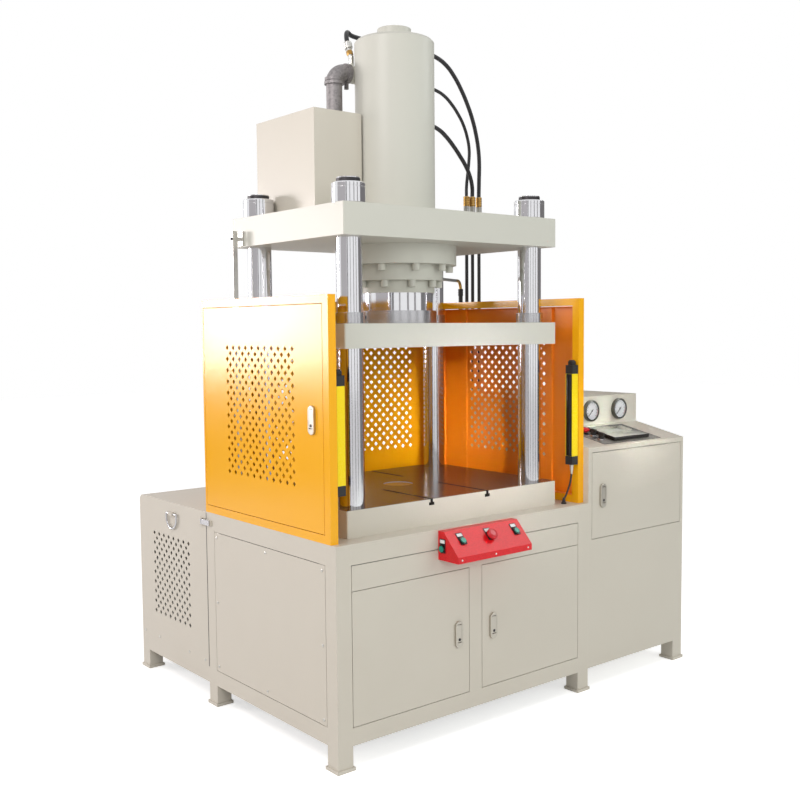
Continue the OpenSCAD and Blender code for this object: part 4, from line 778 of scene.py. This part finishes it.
def dial_finish(name, centre):
    """White enamel with a scale of 270 degrees round a centre on the upright face."""
    face = Finish(name, ior=1.5)
    x, _, z = face.axes()
    middle = at(*centre)
    across, upward = (x - middle.x) * 1000, (z - middle.z) * 1000
    radius = (across * across + upward * upward).math("SQRT")
    part = 27
    scale = (across.math("ARCTAN2", upward) * (180 / math.pi) + 5 * part) * (1 / part)

    def mark(parts, width, inner, outer):
        share = (scale * parts + 0.5).math("FRACT") - 0.5
        off = abs(share) * (part / parts) * (math.pi / 180) * radius
        return (off < width) * (radius > inner) * (radius < outer)

    on_scale = (scale > -0.05) * (scale < 10.05)
    ink = ((mark(1, 0.75, 27, 36) + mark(5, 0.35, 31.5, 36)).clamp() * on_scale).clamp()
    band = (radius > 36.4) * (radius < 38.2) * (scale > 8) * (scale < 10)
    paper = face.mix(face.noise(60, 2), linear(244, 245, 246), linear(236, 238, 240))
    face.set("Base Color", face.mix(ink, face.mix(band, paper, linear(200, 30, 34)), linear(24, 24, 26)))
    face.set("Roughness", 0.32 + ink * 0.1)
    return face


for side, centre, place in zip(("left", "right"), gauge_centres, gauge_spots):
    dial = turned_form([(40.6, 11.9), (40.6, 12.2), (40.2, 12.3)])
    settle(dial, [place], "gauge_dial_" + side, dial_finish("dial_enamel_" + side, centre))
glass = Finish("gauge_glass", ior=1.45, roughness=0.02, transmission_weight=1.0)
glass.set("Base Color", (1, 1, 1, 1))
lens = turned_form([(40.8, 15.4), (40.8, 16.0), (38.0, 16.5), (20.0, 16.8)])
settle(lens, gauge_spots, "gauge_glasses", glass)

# %% [markdown]
# ## Door latches
# A latch is a capsule of plated steel with a pocket for its paddle. A disc becomes a capsule when its upper half is
# pulled up and its lower half down. The shell covers the latch plate on the door, and its pocket is cut to the
# paddle's width, so the paddle still swings.


# %% Latch shells
def latch_shell():
    capsule = turned_form([(18.4, 0.1), (18.4, 8.2), (17.2, 9.4)])
    only(capsule)
    for sign in (1, -1):
        bpy.ops.object.mode_set(mode="EDIT")
        bpy.ops.mesh.select_mode(type="VERT")
        bpy.ops.mesh.select_all(action="DESELECT")
        shell = bmesh.from_edit_mesh(capsule.data)
        for point in shell.verts:
            point.select_set(point.co.y * sign > 1e-6)
        bmesh.update_edit_mesh(capsule.data)
        bpy.ops.transform.translate(value=(0, sign * 0.033, 0))
        bpy.ops.object.mode_set(mode="OBJECT")
    return cut(capsule, moved(block(21.6, 71.6, 20, 2.1), 0, 5, 0))


for name, body, place in (
        ("left", "front_door_left", facing((561.5, 0, 386), FRONT)),
        ("right", "front_door_right", facing((742.5, 0, 386), FRONT)),
        ("cabinet", "cabinet_door", facing((1394, 0, 823), FRONT)),
        ("guard", "guard_door_left", facing((0, 127.5, 1226), LEFT))):
    settle(latch_shell(), [place], "latch_shell_" + name, satin, body)

# %% [markdown]
# Each paddle carries a lock near its lower end: a dark turned cylinder with a sunk keyway. It rides on the paddle,
# so it swings out with it.

# %% Latch locks
for name, place in (
        ("front_left", facing((561.5, -8.7, 367), FRONT)),
        ("front_right", facing((742.5, -8.7, 367), FRONT)),
        ("cabinet", facing((1394, -8.7, 804), FRONT)),
        ("guard", facing((-8.7, 127.5, 1207), LEFT))):
    lock = cut(turned_form([(5.9, -0.2), (5.9, 0.5), (5.2, 1.0)], 28), block(1.6, 6.4, 3, 0.3))
    settle(lock, [place], "latch_lock_" + name, dark_steel, "latch_" + name)

# %% [markdown]
# ## Light curtain fittings
# The light curtain's beams leave through a black window along each bar, and a small foot closes the bar at its top.
# Both are blocks whose top is stepped once. The cable leaves through a plated gland, and it goes into the deck
# through a tapered sleeve. Those are turned, because a nut and a sleeve are round.

# %% Light curtain fittings
CURTAIN_Y = 49
window = block(31, 343, 1.0)
step_top(window, 2.4, 0.7)
settle(round_edges(window, 0.4), [facing((68, CURTAIN_Y, 1173.5), RIGHT), facing((1236, CURTAIN_Y, 1173.5), LEFT)],
       "curtain_windows", gloss_black)
foot = block(20, 26, 16)
step_top(foot, 3, 5)
settle(round_edges(foot, 1.0), [facing((x, CURTAIN_Y, 1382), UP, BACK) for x in (51, 1253)], "curtain_top_feet",
       black)
gland = turned_form([(9, -1), (9, 8), (7.5, 9), (7.5, 22), (6.0, 26), (4.6, 40), (4.3, 41)], 24)
settle(gland, [facing((1253, CURTAIN_Y, 965), DOWN, BACK)], "cable_gland", zinc)
sleeve = turned_form([(7.4, -0.5), (7.0, 6), (5.0, 20), (4.4, 21)], 24)
settle(sleeve, [facing((1218, 60, 806), UP, BACK)], "cable_sleeve", black)

# %% [markdown]
# ## Column caps
# The ends of the columns stand out of their nuts and are capped with dark discs. A cap has a bevelled rim and a
# shallow dish in its top, all in one turned profile.

# %% Column caps
cap = turned_form([(42.3, 0.2), (43.2, 0.6), (43.2, 14), (37, 18.6), (34, 18.9), (33.4, 18.3), (12, 18.3)])
settle(cap, [facing((x, y, 2059), UP, BACK) for x in (184.5, 1107.5) for y in (154, 762)], "column_caps",
       dark_steel)

# %% [markdown]
# ## Hose ends
# A hose is held in its fitting by a crimped sleeve. The crimp leaves a row of ridges. They could be bumps in a
# material, but they show on the outline, so they are turned as one profile that goes in and out.


# %% Crimped sleeves
def crimped(radius, length, ridges):
    """A sleeve with rings pressed into it."""
    steps = [(radius, 0.5)]
    step = (length - 4) / ridges
    for k in range(ridges):
        low = 2 + k * step
        steps += [(radius + 1.5, low + 0.3 * step), (radius + 1.5, low + 0.7 * step), (radius + 0.5, low + step)]
    return turned_form(steps + [(radius - 3, length)], 28)


riser_spots = [facing((x, y, 2113), UP, BACK) for x, y in ((1340, 784), (1374, 780), (1417, 781))]
settle(crimped(13.1, 48, 4), riser_spots, "riser_sleeves", brass)
port_reach = 208 * math.sqrt(0.5)
port_spots = [facing((PRESS_X + port_reach, PRESS_Y + port_reach, z), (1, 1, 0)) for z in (2560, 2390)]
settle(crimped(13.1, 28, 3), port_spots, "port_sleeves", brass)

# %% [markdown]
# The top hose leaves the barrel's neck on a fitting that leans back. Its sleeve and its hexagon nut lie along that
# line, so their places are given by how far along it they are. The drop line from the head ends in a black sleeve.

# %% Top hose and drop line
NECK = Vector((517, 575, 2622))
lean_way = Vector((0, 25, 74)).normalized()


def on_lean(reach):
    """A place on the fitting that leans from the barrel's neck to the top hose."""
    return facing(NECK + lean_way * reach, lean_way, BACK)


settle(crimped(15.7, 26, 3), [on_lean(51)], "top_hose_sleeve", zinc)
nut = open_ring(turned_form([(11.2, 0), (13.2, 0.6), (13.8, 2), (13.8, 18), (13.0, 20), (11.2, 20.4)], 6))
settle(nut, [on_lean(20)], "top_hose_nut", brass)
settle(crimped(10.5, 36, 3), [facing((1322, 808, 1726), DOWN, BACK)], "drop_hose_sleeve", black)

# %% [markdown]
# ## Loose ends
# A set screw locks the split flange on the ram, and the limit switch rail is bolted through its arm. Both show a
# dark socket from the left. They are the screw head from above at another size.

# %% Set screw and rail bolt
settle(screw_head(1.3), [facing((PRESS_X - 163, PRESS_Y, 1586), LEFT)], "flange_set_screw", dark_steel,
       "platen")
settle(screw_head(1.1), [facing((60, 762, 1899), LEFT)], "rail_bolt", dark_steel)

# %% [markdown]
# ## Louvres
# The cabinet and the hood breathe through rows of pressed louvres on the sides that the operator does not see. A
# louvre is a flat block whose lower edge is pulled out, so the air goes in below and falling chips stay out.


# %% Louvres
def louvre(length):
    slat = block(length, 16, 1.5)
    pick(slat, lambda middle, normal: normal.y < -0.9)
    bpy.ops.transform.translate(value=(0, 0, 0.006))
    bpy.ops.object.mode_set(mode="OBJECT")
    return round_edges(slat, 0.7)


PITCH = 34
cabinet_rows = [facing((CABINET_RIGHT, y, 560 + PITCH * k), RIGHT) for y in (300, 600) for k in range(9)]
settle(louvre(180), cabinet_rows, "cabinet_louvres", cream)
hood_rows = [facing((x, HOOD_BACK, 420 + PITCH * k), BACK) for x in (252, 652, 1052) for k in range(8)]
settle(louvre(200), hood_rows, "hood_louvres", cream)

# %% [markdown]
# ## Lamps
# The press stands in soft daylight from a large window behind its left side, with a skylight above and a ceiling
# lamp on the right. Fills from the front lift the shadows. Polished metal would show them as bright squares, so
# mirrors do not see them. Three of them are small with a narrow spread, and each reaches one dark place: the inside
# of the right guard, the back guard and the desk.


# %% Lamps
def softbox(name, place, target, size, power, tint, spread=180, mirrored=True):
    """An area lamp that looks at a target."""
    bpy.ops.object.light_add(type="AREA", location=place)
    lamp = bpy.context.object
    lamp.name = name
    lamp.data.shape = "RECTANGLE"
    lamp.data.size, lamp.data.size_y = size
    lamp.data.energy = power
    lamp.data.color = tint
    lamp.data.spread = math.radians(spread)
    lamp.visible_glossy = mirrored
    lamp.rotation_euler = (target - place).to_track_quat("-Z", "Y").to_euler()
    print(name, power, "W")


WARM, DAYLIGHT, COOL = (1, 0.98, 0.96), (0.98, 1, 0.97), (0.93, 1, 0.94)
softbox("window_left", at(-4600, 7600, 2100), at(100, 700, 1500), (2.3, 2.0), 290, (1, 0.93, 0.92))
softbox("skylight", at(-2300, -500, 3500), at(450, 400, 2300), (1.4, 1.4), 44, (1, 0.95, 0.94))
softbox("ceiling", at(3371, -1004, 3526), at(700, -50, 740), (1.2, 1.2), 16, (1, 1, 1))
softbox("fill_left", at(-1500, -4400, 2300), at(900, 300, 1300), (2.4, 1.8), 56, DAYLIGHT, mirrored=False)
softbox("fill_right", at(3400, -5200, 3000), at(650, 300, 1400), (3.2, 2.4), 70, COOL, mirrored=False)
softbox("fill_inside", at(-2200, -4200, 1900), at(1240, 650, 1050), (0.5, 0.5), 0.9, WARM, 8, False)
softbox("fill_back", at(-1500, -4400, 1750), at(1020, 880, 1120), (0.3, 0.3), 0.3, WARM, 9, False)
softbox("fill_desk", at(2600, -4600, 2900), at(1640, 250, 1120), (0.3, 0.3), 0.5, (0.94, 1, 0.95), 6, False)

# %% [markdown]
# ## The white room
# The photograph's background is white. More light would bleach the machine too, so only what looks at the room
# directly sees it at full strength: the camera, mirrors and glass. For the soft light on the machine it is weaker.

# %% World
ROOM_LIGHT, ROOM_SEEN = 0.43, 1.0
world = bpy.data.worlds.new("studio")
bpy.context.scene.world = world
world.use_nodes = True
sky = world.node_tree
path = sky.nodes.new("ShaderNodeLightPath")
seen = path.outputs["Is Camera Ray"]
for ray in ("Is Glossy Ray", "Is Transmission Ray"):
    either = sky.nodes.new("ShaderNodeMath")
    either.operation = "MAXIMUM"
    sky.links.new(seen, either.inputs[0])
    sky.links.new(path.outputs[ray], either.inputs[1])
    seen = either.outputs[0]
strength = sky.nodes.new("ShaderNodeMix")
strength.inputs[2].default_value = ROOM_LIGHT
strength.inputs[3].default_value = ROOM_SEEN
sky.links.new(seen, strength.inputs[0])
sky.nodes["Background"].inputs["Color"].default_value = (1, 1, 1, 1)
sky.links.new(strength.outputs[0], sky.nodes["Background"].inputs["Strength"])
bpy.context.scene.view_settings.view_transform = "Standard"
print("room:", ROOM_LIGHT, "as light,", ROOM_SEEN, "as seen")

# %% [markdown]
# ## The floor
# The floor is a pale plane. A glow that only the camera and mirrors see brings it near to white, and it still takes
# the machine's shadow.

# %% Floor
bpy.ops.object.select_all(action="DESELECT")
bpy.ops.mesh.primitive_plane_add(size=40, location=(0, 0, 0))
floor = bpy.context.object
floor.name = "floor"
pale = Finish("pale_floor", roughness=0.9)
pale.set("Base Color", pale.mix(pale.noise(3, 2), (0.86, 0.86, 0.86, 1), (0.88, 0.88, 0.88, 1)))
camera_ray = pale.node("ShaderNodeLightPath", output="Is Camera Ray")
mirror_ray = pale.node("ShaderNodeLightPath", output="Is Glossy Ray")
in_mirrors = pale.mix(mirror_ray, (0, 0, 0, 1), (0.30, 0.30, 0.30, 1))
pale.set("Emission Color", pale.mix(camera_ray, in_mirrors, (0.60, 0.60, 0.60, 1)))
pale.set("Emission Strength", 1.0)
floor.data.materials.append(pale.material)
print("floor:", [round(v) for v in floor.dimensions[:2]], "m")

# %% [markdown]
# ## Reflection cards
# Polished chrome shows only what stands round it, and in a white room it turns white. Photographers put grey and
# black cards beside the set, and their mirror images are the dark stripes that make chrome look like metal. These
# cards stand on a circle round the press, and nothing but reflections can see them.


# %% Reflection cards
def reflection_card(turn, spread, shade, low=-1.3, high=5.7):
    """A tall card on a circle round the press. Angles are in degrees, from the camera's side."""
    far = 6
    toward = math.atan2(-ahead.y, -ahead.x) + math.radians(turn)
    place = at(650, 450, (low + high) * 500) + Vector((math.cos(toward), math.sin(toward), 0)) * far
    bpy.ops.object.select_all(action="DESELECT")
    bpy.ops.mesh.primitive_plane_add(size=1, location=place)
    card = bpy.context.object
    card.name = "card_%d" % turn
    card.scale = (2 * far * math.tan(math.radians(spread / 2)), high - low, 1)
    card.rotation_euler = (math.pi / 2, 0, toward + math.pi / 2)
    for ray in ("camera", "diffuse", "shadow", "transmission"):
        setattr(card, "visible_" + ray, False)
    cloth = Finish(card.name + "_cloth", roughness=1.0, emission_strength=1.0)
    cloth.set("Base Color", (0, 0, 0, 1))
    cloth.set("Emission Color", (shade, shade * 0.96, shade * 0.97, 1))
    card.data.materials.append(cloth.material)
    print(card.name, spread, "degrees wide, shade", shade)


for turn, spread, shade in ((-42, 52, 0.50), (-11, 5, 0.10), (10, 4, 0.30), (36, 5, 0.22), (60, 6, 0.28),
                            (116, 66, 0.20), (166, 34, 0.13)):
    reflection_card(turn, spread, shade)
reflection_card(-103, 40, 0.04, 0, 1.12)
